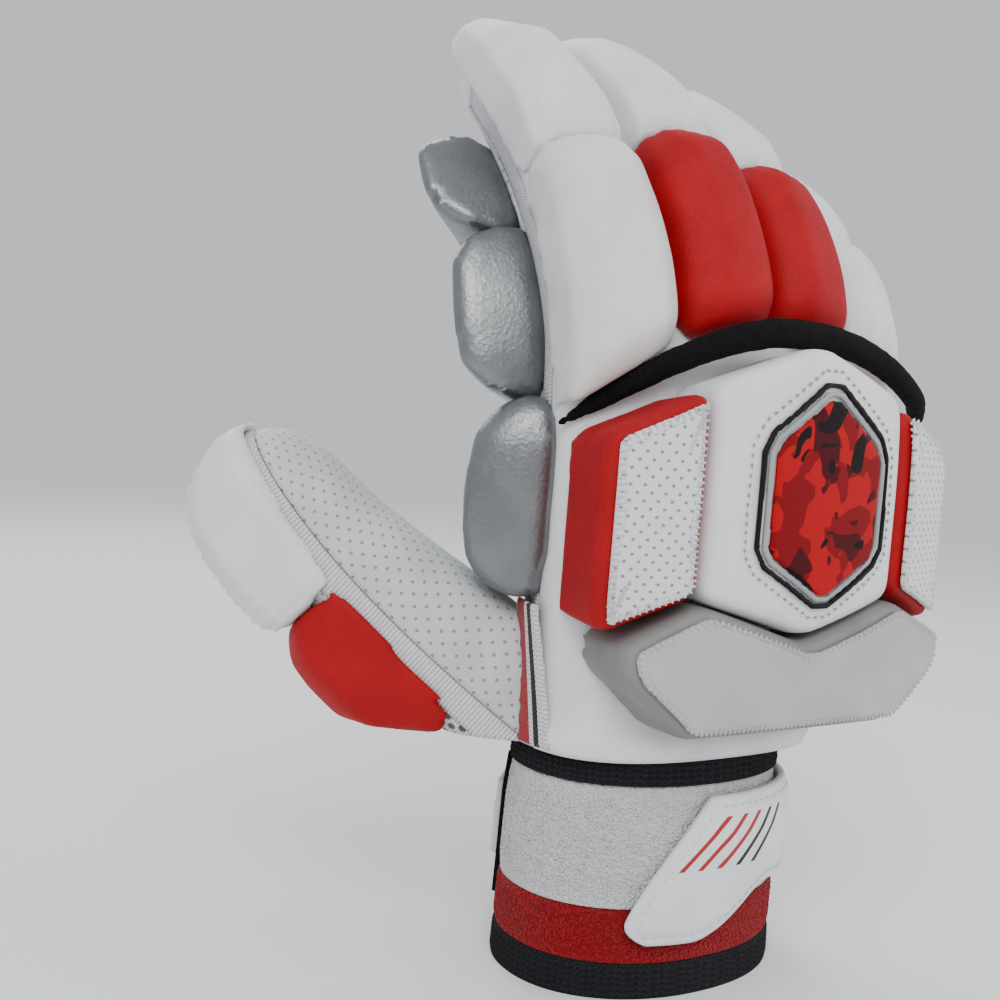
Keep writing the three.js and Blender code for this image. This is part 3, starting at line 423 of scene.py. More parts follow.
def newGroup(name, numbers, outputs):  # every group takes a place and some numbers
    group = bpy.data.node_groups.new(name, "ShaderNodeTree")
    group.interface.new_socket(name="Place", in_out="INPUT", socket_type="NodeSocketVector")
    for label, value in numbers.items():
        group.interface.new_socket(name=label, in_out="INPUT", socket_type="NodeSocketFloat").default_value = value
    for label in outputs:
        group.interface.new_socket(name=label, in_out="OUTPUT", socket_type="NodeSocketFloat")
    return group, group.nodes.new("NodeGroupInput").outputs, group.nodes.new("NodeGroupOutput").inputs


def node(tree, kind, settings=None, **inputs):
    made = tree.nodes.new(kind)
    for key, value in (settings or {}).items():
        setattr(made, key, value)
    for key, value in inputs.items():
        socket = made.inputs[int(key[1:])] if key[0] == "i" and key[1:].isdigit() else made.inputs[key]
        if isinstance(value, bpy.types.NodeSocket):
            tree.links.new(value, socket)
        else:
            socket.default_value = value
    return made


def sums(tree, operation, first, second=0.0):
    return node(tree, "ShaderNodeMath", {"operation": operation}, i0=first, i1=second).outputs[0]


def times(tree, first, second):
    return sums(tree, "MULTIPLY", first, second)


def plus(tree, first, second):
    return sums(tree, "ADD", first, second)


def minus(tree, first, second):
    return sums(tree, "SUBTRACT", first, second)


def fade(tree, value, low, high, toLow=0.0, toHigh=1.0):
    made = node(tree, "ShaderNodeMapRange", {"interpolation_type": "SMOOTHSTEP"}, i0=value, i1=low, i2=high,
                i3=toLow, i4=toHigh)
    return made.outputs[0]


def makeGrain():  # hide with fine cells and soft creases
    group, start, end = newGroup("hideGrain", {"Size": 900.0, "Crease": 0.3}, ["Height", "Shade"])
    place, size = start["Place"], start["Size"]
    cells = node(group, "ShaderNodeTexVoronoi", {"feature": "SMOOTH_F1"}, Vector=place, Scale=size)
    coarse = node(group, "ShaderNodeTexNoise", Vector=place, Scale=60.0, Detail=3.0)
    fine = node(group, "ShaderNodeTexNoise", Vector=place, Scale=times(group, size, 2.2), Detail=2.0)
    creases = node(group, "ShaderNodeTexNoise", Vector=place, Scale=140.0, Detail=4.0, Distortion=1.2)
    crease = fade(group, sums(group, "ABSOLUTE", minus(group, creases.outputs[0], 0.5)), 0.0, 0.05, 1.0, 0.0)
    bumps = plus(group, times(group, cells.outputs["Distance"], 0.6), times(group, fine.outputs[0], 0.4))
    height = minus(group, bumps, times(group, crease, start["Crease"]))
    group.links.new(height, end["Height"])
    group.links.new(coarse.outputs[0], end["Shade"])
    return group


def makeHoles():  # staggered rows of punched holes in the straight layout's x and z
    group, start, end = newGroup("punchedHoles", {"Pitch": 0.003, "Radius": 0.0004}, ["Hole"])
    parts = node(group, "ShaderNodeSeparateXYZ", i0=start["Place"])
    pitch = start["Pitch"]
    rowPitch = times(group, pitch, 0.62)
    row = sums(group, "DIVIDE", parts.outputs[2], rowPitch)
    odd = sums(group, "MODULO", sums(group, "ABSOLUTE", sums(group, "FLOOR", row)), 2.0)
    column = plus(group, sums(group, "DIVIDE", parts.outputs[0], pitch), times(group, odd, 0.5))
    sideways = times(group, minus(group, sums(group, "FRACT", column), 0.5), pitch)
    upward = times(group, minus(group, sums(group, "FRACT", row), 0.5), rowPitch)
    away = sums(group, "SQRT", plus(group, times(group, sideways, sideways), times(group, upward, upward)))
    ratio = sums(group, "DIVIDE", away, start["Radius"])
    group.links.new(fade(group, ratio, 0.7, 1.25, 1.0, 0.0), end["Hole"])
    return group


def makeKnit():  # rows of small plaited stitches along the layout's z
    group, start, end = newGroup("knitRows", {"Pitch": 0.0011}, ["Height"])
    parts = node(group, "ShaderNodeSeparateXYZ", i0=start["Place"])
    turn = 2 * math.pi
    around = plus(group, parts.outputs[0], parts.outputs[1])
    wave = sums(group, "SINE", times(group, sums(group, "DIVIDE", around, start["Pitch"]), turn))
    upward = sums(group, "DIVIDE", parts.outputs[2], start["Pitch"])
    shifted = plus(group, times(group, upward, turn), times(group, wave, 1.3))
    rows = plus(group, times(group, sums(group, "SINE", shifted), 0.5), 0.5)
    fuzz = node(group, "ShaderNodeTexNoise", Vector=start["Place"], Scale=2600.0, Detail=3.0)
    height = plus(group, times(group, rows, 0.7), times(group, fuzz.outputs[0], 0.5))
    group.links.new(height, end["Height"])
    return group


def makeLoops():  # tufts of looped pile
    group, start, end = newGroup("pileLoops", {"Size": 900.0}, ["Height"])
    place, size = start["Place"], start["Size"]
    tufts = node(group, "ShaderNodeTexVoronoi", {"feature": "F1"}, Vector=place, Scale=size, Randomness=0.9)
    threads = node(group, "ShaderNodeTexNoise", Vector=place, Scale=times(group, size, 3.0), Detail=4.0)
    tuft = fade(group, tufts.outputs["Distance"], 0.0, 0.75, 1.0, 0.0)
    height = plus(group, tuft, times(group, threads.outputs[0], 0.45))
    group.links.new(height, end["Height"])
    return group


grainGroup, holeGroup, knitGroup, loopGroup = makeGrain(), makeHoles(), makeKnit(), makeLoops()


def newFinish(name, roughness, metallic=0.0, sheen=0.0, specular=0.5):
    finish = bpy.data.materials.new(name)
    finish.use_nodes = True
    tree = finish.node_tree
    tree.nodes.clear()
    shader = tree.nodes.new("ShaderNodeBsdfPrincipled")
    shader.inputs["Roughness"].default_value = roughness
    shader.inputs["Metallic"].default_value = metallic
    shader.inputs["Sheen Weight"].default_value = sheen
    shader.inputs["Specular IOR Level"].default_value = specular
    out = tree.nodes.new("ShaderNodeOutputMaterial")
    tree.links.new(shader.outputs[0], out.inputs[0])
    return finish, tree, shader


def objectPlace(tree):
    return tree.nodes.new("ShaderNodeTexCoord").outputs["Object"]


def layoutPlace(tree):
    return node(tree, "ShaderNodeAttribute", {"attribute_name": "layout"}).outputs["Vector"]


def blendColours(tree, share, first, second):
    return node(tree, "ShaderNodeMix", {"data_type": "RGBA"}, i0=share, i6=first, i7=second).outputs[2]


def useGroup(tree, group, **inputs):
    return node(tree, "ShaderNodeGroup", {"node_tree": group}, **inputs)


def dress(tree, shader, colour, height, relief):  # relief is in mm
    bump = node(tree, "ShaderNodeBump", i0=1.0, i1=relief * mm, Height=height)
    tree.links.new(colour, shader.inputs["Base Color"])
    tree.links.new(bump.outputs[0], shader.inputs["Normal"])


def rgb(red, green, blue):
    return (red, green, blue, 1.0)


holeGrey = rgb(0.27, 0.275, 0.28)


def hideFinish(name, light, dark, roughness, size, relief, crease, holes=None, metallic=0.0, sheen=0.0, specular=0.5):
    finish, tree, shader = newFinish(name, roughness, metallic, sheen, specular)
    where = objectPlace(tree)
    grain = useGroup(tree, grainGroup, Place=where, Size=size, Crease=crease)
    shade = fade(tree, grain.outputs["Shade"], 0.3, 0.72)
    colour = blendColours(tree, shade, dark, light)
    height = grain.outputs["Height"]
    if holes:
        punched = useGroup(tree, holeGroup, Place=layoutPlace(tree), Pitch=holes[0], Radius=holes[1])
        colour = blendColours(tree, punched.outputs[0], colour, holeGrey)
        height = minus(tree, times(tree, height, 0.35), times(tree, punched.outputs[0], 0.6))
    dullness = fade(tree, grain.outputs["Height"], 0.1, 0.8, roughness + 0.1, roughness - 0.06)
    tree.links.new(dullness, shader.inputs["Roughness"])
    dress(tree, shader, colour, height, relief)
    return finish


def knitFinish(name, stripes, pitch=0.0011, sheen=0.2):  # stripes: one colour, or pairs of place in y and colour
    finish, tree, shader = newFinish(name, 0.9, sheen=sheen, specular=0.2)
    where = layoutPlace(tree)
    knit = useGroup(tree, knitGroup, Place=where, Pitch=pitch)
    if isinstance(stripes, tuple):
        colour = stripes
    else:
        across = node(tree, "ShaderNodeSeparateXYZ", i0=where).outputs[1]
        ramp = node(tree, "ShaderNodeValToRGB")
        low, high = stripes[0][0], stripes[-1][0]
        tree.links.new(node(tree, "ShaderNodeMapRange", i0=across, i1=low * mm, i2=high * mm).outputs[0],
                       ramp.inputs[0])
        ramp.color_ramp.interpolation = "CONSTANT"
        while len(ramp.color_ramp.elements) < len(stripes):
            ramp.color_ramp.elements.new(0.5)
        for element, (at, tint) in zip(ramp.color_ramp.elements, stripes):
            element.position = (at - low) / (high - low)
            element.color = tint
        colour = ramp.outputs[0]
    # painted shade: the colour is darkened toward near-black in the low valleys between the knit rows
    valleyShaded = blendColours(tree, fade(tree, knit.outputs[0], 0.1, 0.9, 0.45, 0.0), colour, rgb(0.03, 0.03, 0.035))
    dress(tree, shader, valleyShaded, knit.outputs[0], 0.35)
    return finish


def pileFinish(name, light, dark, size, relief, sheen):
    finish, tree, shader = newFinish(name, 0.95, sheen=sheen, specular=0.15)
    pile = useGroup(tree, loopGroup, Place=objectPlace(tree), Size=size)
    # painted shade: the dark colour fills the low places between the loops and the light colour sits on the loop tops
    colour = blendColours(tree, fade(tree, pile.outputs[0], 0.25, 0.95), dark, light)
    dress(tree, shader, colour, pile.outputs[0], relief)
    return finish


def camouflageFinish():
    finish, tree, shader = newFinish("badgePrint", 0.6, specular=0.12)
    where = objectPlace(tree)
    colour = rgb(0.42, 0.002, 0.006)
    for scale, limit, tint, offset in (
            (95.0, 0.53, rgb(0.20, 0.002, 0.005), 0.0), (85.0, 0.57, rgb(0.06, 0.002, 0.004), 3.1),
            (78.0, 0.61, rgb(0.008, 0.003, 0.004), 7.7)):
        moved = node(tree, "ShaderNodeVectorMath", {"operation": "ADD"}, i0=where, i1=(offset, offset, 0))
        blots = node(tree, "ShaderNodeTexNoise", Vector=moved.outputs[0], Scale=scale, Detail=1.6, Distortion=0.6)
        colour = blendColours(tree, fade(tree, blots.outputs[0], limit - 0.004, limit + 0.004), colour, tint)
    grain = useGroup(tree, grainGroup, Place=where, Size=1400.0, Crease=0.0)
    dress(tree, shader, colour, grain.outputs[0], 0.03)
    return finish


def airMeshFinish():
    finish, tree, shader = newFinish("airMesh", 0.85, sheen=0.2)
    where = layoutPlace(tree)
    punched = useGroup(tree, holeGroup, Place=where, Pitch=0.0042, Radius=0.00105)
    knit = useGroup(tree, knitGroup, Place=where, Pitch=0.0009)
    # painted shade: the thread is light grey on the raised knit and darker grey in its low valleys
    thread = blendColours(tree, fade(tree, knit.outputs[0], 0.1, 0.9), rgb(0.36, 0.37, 0.39), rgb(0.74, 0.75, 0.77))
    colour = blendColours(tree, punched.outputs[0], thread, rgb(0.07, 0.07, 0.075))
    height = minus(tree, times(tree, knit.outputs[0], 0.3), punched.outputs[0])
    dress(tree, shader, colour, height, 0.9)
    return finish


stripeBars = {"foot": 34.5 * mm, "start": 10.3 * mm, "pitch": 4.6 * mm, "slant": 0.85, "height": 13.6 * mm}


def makeStripes():  # five slanted bars in the layout's x and z, the last two dark
    group, start, end = newGroup("slantedBars", {}, ["Mask", "Dark"])
    parts = node(group, "ShaderNodeSeparateXYZ", i0=start["Place"])
    up = minus(group, parts.outputs[2], stripeBars["foot"])
    run = minus(group, parts.outputs[0], times(group, up, stripeBars["slant"]))
    count = sums(group, "DIVIDE", plus(group, run, stripeBars["start"]), stripeBars["pitch"])
    away = sums(group, "ABSOLUTE", minus(group, count, sums(group, "ROUND", count)))
    bar = fade(group, away, 0.14, 0.17, 1.0, 0.0)
    within = times(group, sums(group, "GREATER_THAN", count, -0.5), sums(group, "LESS_THAN", count, 4.5))
    tall = times(group, fade(group, up, 0.0, 0.2 * mm), fade(group, up, stripeBars["height"] - 0.2 * mm,
                                                             stripeBars["height"], 1.0, 0.0))
    group.links.new(times(group, times(group, bar, within), tall), end["Mask"])
    group.links.new(sums(group, "GREATER_THAN", count, 2.5), end["Dark"])
    return group


def stripedFinish():
    finish, tree, shader = newFinish("stripedLeather", 0.5)
    grain = useGroup(tree, grainGroup, Place=objectPlace(tree), Size=1500.0, Crease=0.1)
    bars = useGroup(tree, makeStripes(), Place=layoutPlace(tree))
    ground = blendColours(tree, fade(tree, grain.outputs["Shade"], 0.3, 0.72), shadeWhite, white)
    tint = blendColours(tree, bars.outputs["Dark"], red, black)
    dress(tree, shader, blendColours(tree, bars.outputs["Mask"], ground, tint), grain.outputs["Height"], 0.07)
    return finish


white, shadeWhite = rgb(0.80, 0.81, 0.82), rgb(0.72, 0.73, 0.74)
red, deepRed, black = rgb(0.40, 0.001, 0.006), rgb(0.33, 0.001, 0.005), rgb(0.006, 0.006, 0.008)
knitWhite = rgb(0.78, 0.78, 0.80)
hides = {  # light and dark colour, roughness, grain size, relief in mm, crease
    "whiteLeather": (white, shadeWhite, 0.5, 1500.0, 0.07, 0.1),
    "creamLeather": (rgb(0.78, 0.765, 0.735), rgb(0.70, 0.685, 0.65), 0.55, 1500.0, 0.07, 0.1),
    "redLeather": (red, deepRed, 0.62, 1500.0, 0.1, 0.1),
    "perforatedWhite": (rgb(0.76, 0.765, 0.77), shadeWhite, 0.6, 1500.0, 0.35, 0.1),
    "silverLeather": (rgb(0.235, 0.245, 0.25), rgb(0.19, 0.20, 0.205), 0.34, 850.0, 0.13, 0.15),
    "palmHide": (rgb(0.62, 0.64, 0.645), rgb(0.52, 0.545, 0.55), 0.68, 1000.0, 0.35, 0.4),
    "guardHide": (rgb(0.48, 0.465, 0.44), rgb(0.43, 0.415, 0.39), 0.6, 1700.0, 0.07, 0.1),
    "guardSide": (rgb(0.22, 0.225, 0.215), rgb(0.18, 0.185, 0.175), 0.5, 1700.0, 0.07, 0.1),
    "blackRubber": (rgb(0.008, 0.008, 0.009), rgb(0.004, 0.004, 0.005), 0.5, 2000.0, 0.02, 0.0),
    "greyRubber": (rgb(0.36, 0.37, 0.38), rgb(0.31, 0.32, 0.33), 0.5, 2000.0, 0.02, 0.0),
    "guardThread": (rgb(0.50, 0.485, 0.455), rgb(0.42, 0.41, 0.38), 0.7, 2500.0, 0.03, 0.0),
    "thread": (rgb(0.66, 0.665, 0.67), rgb(0.5, 0.5, 0.5), 0.7, 2500.0, 0.03, 0.0),
    "greyThread": (rgb(0.33, 0.33, 0.33), rgb(0.25, 0.25, 0.25), 0.7, 2500.0, 0.03, 0.0),
}
hideExtras = {  # holes are pitch and radius in metres
    "redLeather": {"specular": 0.22}, "silverLeather": {"metallic": 0.85}, "blackRubber": {"specular": 0.15},
    "greyRubber": {"specular": 0.2}, "perforatedWhite": {"holes": (0.0029, 0.00036)},
    "palmHide": {"holes": (0.0040, 0.00042), "sheen": 0.1},
}
piles = {  # colour of the loop tops and painted shade between the loops, loop size, relief in mm, sheen
    "blackBand": (rgb(0.008, 0.008, 0.009), rgb(0.003, 0.003, 0.003), 2400.0, 0.12, 0.0),
    "whiteTowel": (rgb(0.88, 0.89, 0.89), rgb(0.64, 0.65, 0.65), 1250.0, 0.8, 0.3),
    "redTowel": (rgb(0.46, 0.001, 0.008), rgb(0.24, 0.001, 0.004), 1250.0, 0.8, 0.1),
    "blackPile": (rgb(0.012, 0.012, 0.014), rgb(0.003, 0.003, 0.004), 900.0, 0.4, 0.0),
}
finishes = {name: hideFinish(name, *look, **hideExtras.get(name, {})) for name, look in hides.items()}
finishes.update({name: pileFinish(name, *look) for name, look in piles.items()})
finishes.update({
    "stripedLeather": stripedFinish(),
    "blackKnit": knitFinish("blackKnit", rgb(0.010, 0.010, 0.012), 0.0016, 0.0),
    "whiteKnit": knitFinish("whiteKnit", rgb(0.80, 0.80, 0.83)),
    "stripedKnit": knitFinish("stripedKnit", [(-4.3, knitWhite), (-1.6, red), (1.6, black), (2.8, knitWhite),
                                              (4.3, white)]),
    "stripedTape": knitFinish("stripedTape", [(-9, knitWhite), (-7.5, black), (-5.6, knitWhite), (-3.8, red),
                                              (3.0, knitWhite), (9, white)]),
    "airMesh": airMeshFinish(),
    "badgePrint": camouflageFinish(),
})
print("finishes ready")


def handShape(share, angle):
    up = (hand["cuffHeight"] - hand["tuck"]) + share * (hand["palmLength"] + hand["tuck"])
    along = (up - hand["cuffHeight"]) / hand["palmLength"]
    return rounded(readTable(handSections, along, "shift"), readTable(handSections, along, "wide") * hand["halfWidth"],
                   readTable(handSections, along, "front") * hand["halfDepth"],
                   readTable(handSections, along, "back") * hand["halfDepth"], up, angle, hand["power"])


def stallShape(finger):
    def shape(share, angle):
        up = stallFoot + share * (stallTip(finger) - stallFoot)
        deep = readTable(stallSections, share, "deep") * stall["halfDepth"]
        return rounded(stallCentre(finger, up), readTable(stallSections, share, "wide") * stall["halfWidth"],
                       deep, deep, up, angle, stall["power"])
    return shape


def thumbShape(share, angle):
    along = -thumb["tuck"] + (1 + thumb["tuck"]) * share
    return rounded(0, readTable(thumbSections, along, "wide") * thumb["halfWidth"],
                   readTable(thumbSections, along, "guard") * thumb["depth"],
                   readTable(thumbSections, along, "pad") * thumb["depth"], along * thumb["length"], angle,
                   thumb["power"])


def insideHand(points):  # within the outline of the palm, drawn in a little
    along = (points[:, 2] - hand["cuffHeight"]) / hand["palmLength"]
    deep = np.where(points[:, 1] < 0, readTable(handSections, along, "front"), readTable(handSections, along, "back"))
    across = np.abs(points[:, 0] - readTable(handSections, along, "shift"))
    wide = readTable(handSections, along, "wide") * hand["halfWidth"] - hand["cutIn"]
    return ((across / wide) ** hand["power"]
            + np.abs(points[:, 1] / (deep * hand["halfDepth"] - hand["cutIn"])) ** hand["power"]) < 1


def insideThumb(points):
    along = points[:, 2] / thumb["length"]
    deep = np.where(points[:, 1] < 0, readTable(thumbSections, along, "guard"), readTable(thumbSections, along, "pad"))
    wide = readTable(thumbSections, along, "wide") * thumb["halfWidth"] - thumb["cutIn"]
    inner = ((np.abs(points[:, 0]) / wide) ** thumb["power"]
             + np.abs(points[:, 1] / (deep * thumb["depth"] - thumb["cutIn"])) ** thumb["power"]) < 1
    return inner & (along > -thumb["tuck"])


skinVoxel = 1.7
handSkin = remeshed(join([tube(56, 26, handShape)] + [tube(32, 34, stallShape(finger)) for finger in fingers]),
                    skinVoxel, 5)
thumbSkin = remeshed(tube(36, 40, thumbShape), skinVoxel, 4)
seam = hand["knit"] + hand["gap"]
knitEdge = hand["knit"] - hand["gap"]
hemUp = hand["cuffHeight"] + hand["hem"]
handCuts = [((0, side, 0), (0, 1, 0)) for side in (-seam, seam, -knitEdge, knitEdge)] + [((0, 0, hemUp), (0, 0, 1))]


def offThumb(points):
    return ~insideThumb(unbend(bendHand(points), bendThumb))


def offHand(points):
    spots = bendThumb(points)
    return ~insideHand(unbend(spots, bendHand)) & (spots[:, 2] > hemUp)


wallRelief = {  # waves are height and length, ridges height, place and spread
    "palmWave": (0.35, 34), "palmCrease": (0.12, 11), "backWave": (0.3, 30), "thumbWave": (0.3, 26),
    "hemBulge": (1.5, 66.5, 3.4), "welt": (0.9, 1.4, 1.1),
}


def wave(kind, points, seed):
    height, length = wallRelief[kind]
    return height * ripple(points, length, seed)


def ridge(kind, places):
    height, middle, spread = wallRelief[kind]
    return height * np.exp(-((places - middle) / spread) ** 2)


palmHide = panelOf(handSkin, handCuts, lambda at: (at[:, 1] > seam) & (at[:, 2] > hemUp), offThumb)
points = corners(palmHide)
palmHide = puffed(palmHide, wave("palmWave", points, 3) + wave("palmCrease", points, 4))
palmHide = puffed(palmHide, ridge("welt", corners(palmHide)[:, 1] - seam))  # raised edge where it meets the knit
place("palmLeather", walled(palmHide, hand["wall"]), bendHand, "palmHide",
      stands=["palm_leather"] + [f"finger_leather_{finger['name']}" for finger in fingers])

backPanel = panelOf(handSkin, handCuts, lambda at: (at[:, 1] < -seam) & (at[:, 2] > hemUp), offThumb)
points = corners(backPanel)
backPanel = puffed(backPanel, ridge("hemBulge", points[:, 2]) + wave("backWave", points, 5))
place("backPanel", walled(backPanel, hand["wall"]), bendHand, "whiteLeather",
      stands=["back_panel"] + [f"finger_back_{finger['name']}" for finger in fingers])

knitStrips = [  # side of the palm that the strip runs down, 0 for none
    {"name": "indexSideStrip", "finish": "whiteKnit", "side": -1},
    {"name": "fourchetteIndexMiddle", "finish": "stripedKnit", "side": 0},
    {"name": "fourchetteMiddleRing", "finish": "stripedKnit", "side": 0},
    {"name": "fourchetteRingLittle", "finish": "stripedKnit", "side": 0},
    {"name": "littleSideStrip", "finish": "whiteKnit", "side": 1},
]
farOut = 400
for number, strip in enumerate(knitStrips):
    low = float(stallCentre(fingers[number - 1], stallTip(fingers[number - 1]))) if number else -farOut
    high = float(stallCentre(fingers[number], stallTip(fingers[number]))) if number < 4 else farOut

    def keepStrip(at, low=low, high=high, side=strip["side"]):
        inBand = (np.abs(at[:, 1]) < knitEdge) & (at[:, 2] > hemUp)
        between = (at[:, 0] > low + hand["gap"]) & (at[:, 0] < high - hand["gap"])
        return inBand & np.where(at[:, 2] < stallFoot, side * at[:, 0] > 0, between)
    wall = walled(panelOf(handSkin, handCuts, keepStrip, offThumb), hand["wall"])
    place(strip["name"], wall, bendHand, strip["finish"])
print("hand walls ready")

eyelet = {"shares": (0.24, 0.38, 0.52, 0.66), "radius": 0.9, "depth": 0.45, "out": 0.25}
eyelets = bmesh.new()
for finger in fingers:
    for share in eyelet["shares"]:
        up = stallFoot + share * (stallTip(finger) - stallFoot)
        deep = float(readTable(stallSections, share, "deep")) * stall["halfDepth"] + eyelet["out"]
        spot = Matrix.Translation((float(stallCentre(finger, up)), deep, up))
        size = Matrix.Diagonal((eyelet["radius"], eyelet["depth"], eyelet["radius"], 1))
        bmesh.ops.create_icosphere(eyelets, subdivisions=3, radius=1, matrix=spot @ size)
place("palmEyelets", eyelets, bendHand, "blackRubber", stands=[])

split = thumb["meshShare"] * thumb["length"]
hemNormal = Vector((thumbSide.z, thumbPad.z, thumbAlong.z))
hemSpot = hemNormal * (hemUp - thumb["base"][2])
thumbCuts = [((0, side, 0), (0, 1, 0)) for side in (seam, knitEdge, -knitEdge, -seam)]
thumbCuts += [((0, 0, split), (0, 0, 1)), ((hand["gap"], 0, 0), (1, 0, 0)), ((-hand["gap"], 0, 0), (1, 0, 0)),
              (hemSpot, hemNormal)]


def guardSide(at):  # back of the thumb, with the side that has no knit strip
    return (at[:, 1] < -seam) | ((at[:, 1] < knitEdge) & (at[:, 0] < -hand["gap"]))


thumbPanels = [
    {"name": "thumbPadLeather", "finish": "palmHide", "keep": lambda at: at[:, 1] > seam},
    {"name": "thumbSideStrip", "finish": "whiteKnit",
     "keep": lambda at: (np.abs(at[:, 1]) < knitEdge) & (at[:, 0] > hand["gap"])},
    {"name": "thumbMesh", "finish": "airMesh", "keep": lambda at: guardSide(at) & (at[:, 2] < split - hand["gap"])},
    {"name": "thumbTipLeather", "finish": "palmHide",
     "keep": lambda at: guardSide(at) & (at[:, 2] > split + hand["gap"])},
]
for panel in thumbPanels:
    bm = panelOf(thumbSkin, thumbCuts, panel["keep"], offHand)
    if panel["finish"] == "palmHide":
        bm = puffed(bm, wave("thumbWave", corners(bm), 8))
    place(panel["name"], walled(bm, hand["wall"]), bendThumb, panel["finish"], girth=True)
handSkin.free()
thumbSkin.free()
print("thumb stall ready")

padVoxel = 1.3
knuckleRoll = {"rounds": 8, "puff": 0.6, "fill": 0.85}
tipRoll = {"voxel": 0.9, "rounds": 6, "puff": 0.55, "fill": 0.85}
littleRolls = {"run": 16, "stretch": 5}  # the little finger's rolls reach further out
wrinkle = {"wave": 0.25, "waveLength": 24, "pleat": 0.3, "pleatRate": 1.5, "pleatReach": 8, "fold": 0.14,
           "foldRate": 0.55, "lowFrom": 8, "lowRun": 10}
knuckleBand = {"voxel": 1.1, "rounds": 5, "puff": 0.7, "fill": 0.9, "reach": (-60, 75, 3)}
sideBar = {"voxel": 1.6, "rounds": 12, "puff": 1.6, "fill": 0.8, "run": 18, "dent": 0.12, "dentLength": 22,
           "stretch": {"top": -4, "middle": -4, "bottom": -2}}
thumbTipRoll = {"voxel": 1.0, "rounds": 5, "puff": 0.35, "fill": 0.85, "pleatPitch": 2.8, "pleat": 0.27,
                "pleatMore": 0.25, "wave": 0.25}
thumbBaseRoll = {"rounds": 14, "puff": 0.6, "fill": 0.85}
padBody = {"voxel": 1.1, "rounds": 5, "puff": 0.25, "fill": 0.9}
padFace = {"voxel": 0.7, "rounds": 3, "puff": 0.2, "fill": 0.9}


def reached(points, low, high, amount):  # stretches x from 0 at low to the whole amount at high
    points = points.copy()
    points[:, 0] += amount * smoothStep((points[:, 0] - low) / (high - low))
    return points


def paddedCopy(name, form, bend, finish, sculpt=None, reach=None):
    bm = remeshed(copyOf(cadName(name), bend), form.get("voxel", padVoxel), form["rounds"])
    if reach:
        moveTo(bm, reached(corners(bm), *reach))
    points = corners(bm)
    puffed(bm, form["puff"] + (sculpt(points) if sculpt else 0))
    softened(bm, 1)
    return place(name, bm, bend, finish, fill=form["fill"])


for number, finger in enumerate(fingers):
    valley = stallFoot + finger["valley"] * (stallTip(finger) - stallFoot)

    def rollWrinkles(points, valley=valley, number=number):
        nearValley = np.exp(-np.abs(points[:, 2] - valley) / wrinkle["pleatReach"])
        pleats = np.sin(points[:, 0] * wrinkle["pleatRate"] + 2.5 * ripple(points, 20, 20 + number))
        folds = np.sin(points[:, 2] * wrinkle["foldRate"] + 2.8 * ripple(points, 26, 60 + number))
        low = smoothStep((-points[:, 1] - wrinkle["lowFrom"]) / wrinkle["lowRun"])
        return (wrinkle["wave"] * ripple(points, wrinkle["waveLength"], 11 + number)
                + wrinkle["pleat"] * nearValley * pleats + wrinkle["fold"] * (1 - low) * folds)
    outward = None
    if finger["name"] == "little":
        middle = stallCentre(finger, valley)
        outward = (middle, middle + littleRolls["run"], littleRolls["stretch"])
    paddedCopy(f"knuckleRoll_{finger['name']}", knuckleRoll, bendHand, finger["roll"], rollWrinkles, outward)
    paddedCopy(f"tipRoll_{finger['name']}", tipRoll, bendHand, "whiteLeather", rollWrinkles, outward)

paddedCopy("knuckleBand", knuckleBand, bendHand, "blackBand", reach=knuckleBand["reach"])
for level, stretch in sideBar["stretch"].items():
    barLow = float(corners(copyOf(f"side_bar_{level}", bendHand))[:, 0].min())
    paddedCopy(f"sideBar_{level}", sideBar, bendHand, "silverLeather",
               lambda points: sideBar["dent"] * ripple(points, sideBar["dentLength"], 31),
               (barLow + sideBar["run"], barLow, stretch))


def gathers(points):  # fine pleats across the thumb's tip roll
    deep = thumbTipRoll["pleat"] + thumbTipRoll["pleatMore"] * smoothStep((-points[:, 1] - 8) / 9)
    turns = points[:, 2] * 2 * math.pi / thumbTipRoll["pleatPitch"]
    return deep * np.sin(turns + 2.2 * ripple(points, 16, 41)) + thumbTipRoll["wave"] * ripple(points, 21, 42)


paddedCopy("thumbTipRoll", thumbTipRoll, bendThumb, "whiteLeather", gathers)
paddedCopy("thumbBaseRoll", thumbBaseRoll, bendThumb, "redLeather")
for name, form, finish in (
        ("centrePad", padBody, "whiteLeather"), ("indexPad", padBody, "redLeather"),
        ("littlePad", padBody, "redLeather"), ("wristGuard", padBody, "guardSide"),
        ("indexPadFace", padFace, "perforatedWhite"),
        ("littlePadFace", padFace, "perforatedWhite"), ("wristGuardFace", padFace, "guardHide")):
    paddedCopy(name, form, bendHand, finish)
thinPieces = {"puff": 0.1, "badge": (0.6, 4), "tape": (0.7, 3)}  # voxel and rounds
for name, finish, kind in (("badgeRing", "blackRubber", "badge"), ("badgeLiner", "greyRubber", "badge"),
                           ("badgeField", "badgePrint", "badge"), ("sideTape", "stripedTape", "tape")):
    bm = remeshed(copyOf(cadName(name), bendHand), *thinPieces[kind])
    place(name, puffed(bm, thinPieces["puff"]), bendHand, finish)
print("pads ready")

